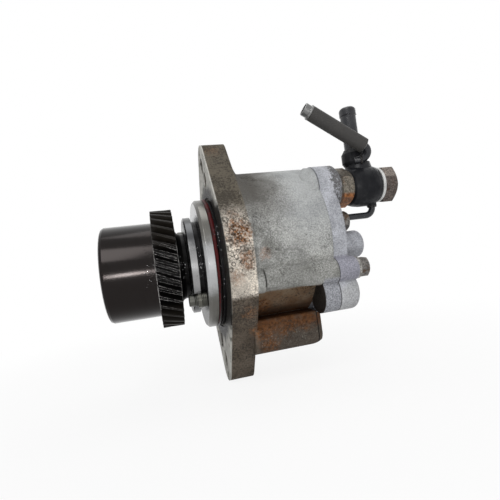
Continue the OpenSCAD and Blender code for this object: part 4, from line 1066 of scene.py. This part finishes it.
class PUMP_OT_stage(Step):
    """Floor, backdrop, lights and the camera of the photograph"""
    bl_idname = "pump.stage"
    bl_label = "Stage"

    def make(self, tint, size):
        scene = bpy.context.scene
        mesh = bpy.data.meshes.new("floor")
        s = FLOOR_HALF
        low = float(cad_box[0][2]) - FLOOR_GAP
        mesh.from_pydata([(-s, -s, low), (s, -s, low), (s, s, low), (-s, s, low)], [], [(0, 1, 2, 3)])
        floor = bpy.data.objects.new("floor", mesh)
        scene.collection.objects.link(floor)
        mesh.materials.append(floor_finish())

        world = bpy.data.worlds.new("studio")
        world.use_nodes = True
        scene.world = world
        net = Net(world.node_tree)
        back = world.node_tree.nodes["Background"]
        net.put(back.inputs["Color"], (1.0, 1.0, 1.0))
        net.put(back.inputs["Strength"], net.ramp(seen_straight(net), 0.0, 1.0, 0.42, 1.0, False))

        for name, spot, wide, power in LAMPS:
            lamp = bpy.data.lights.new(name, "AREA")
            lamp.size = wide
            lamp.energy = power
            o = bpy.data.objects.new(name, lamp)
            away = np.array(spot) - np.array(LIT)
            away /= np.linalg.norm(away)
            side = np.cross((0.0, 0.0, 1.0), away)
            side /= np.linalg.norm(side)
            turn = Matrix(np.column_stack([side, np.cross(away, side), away]).tolist())
            o.matrix_world = Matrix.Translation(spot) @ turn.to_4x4()
            scene.collection.objects.link(o)

        cam = bpy.data.cameras.new("camera")
        cam.lens = size.lens
        cam.sensor_width = 36.0
        cam.clip_start = 0.005
        cam.clip_end = 50.0
        eye = bpy.data.objects.new("camera", cam)
        turn = Matrix((RIGHT, [-v for v in DOWN], [-v for v in AHEAD])).transposed()
        eye.matrix_world = Matrix.Translation(EYE) @ turn.to_4x4()
        scene.collection.objects.link(eye)
        scene.camera = eye
        scene.view_settings.view_transform = "Standard"


STEPS = (PUMP_OT_castings, PUMP_OT_drive_end, PUMP_OT_bearing, PUMP_OT_retainer_spacers, PUMP_OT_pump_gears,
         PUMP_OT_relief_spring, PUMP_OT_fasteners, PUMP_OT_fitting, PUMP_OT_pipes, PUMP_OT_braze_beads,
         PUMP_OT_oil_drops, PUMP_OT_stage)


class PUMP_PT_panel(bpy.types.Panel):
    """The pump's sizes, colours and steps"""
    bl_idname = "PUMP_PT_panel"
    bl_label = "Gear pump"
    bl_space_type = "VIEW_3D"
    bl_region_type = "UI"
    bl_category = "Pump"

    def draw(self, context):
        for part in (context.scene.pump_sizes, context.scene.pump_colours):
            for key in part.__annotations__:
                self.layout.prop(part, key)
        for step in STEPS:
            self.layout.operator(step.bl_idname)


CLASSES = (PumpColours, PumpSizes, *STEPS, PUMP_PT_panel)


def register():
    for item in CLASSES:
        bpy.utils.register_class(item)
    bpy.types.Scene.pump_colours = PointerProperty(type=PumpColours)
    bpy.types.Scene.pump_sizes = PointerProperty(type=PumpSizes)


def unregister():
    del bpy.types.Scene.pump_colours
    del bpy.types.Scene.pump_sizes
    for item in reversed(CLASSES):
        bpy.utils.unregister_class(item)


def main():
    register()
    shared_groups()
    for step in STEPS:
        getattr(bpy.ops.pump, step.bl_idname.split(".")[1])()


if __name__ == "__main__":
    main()
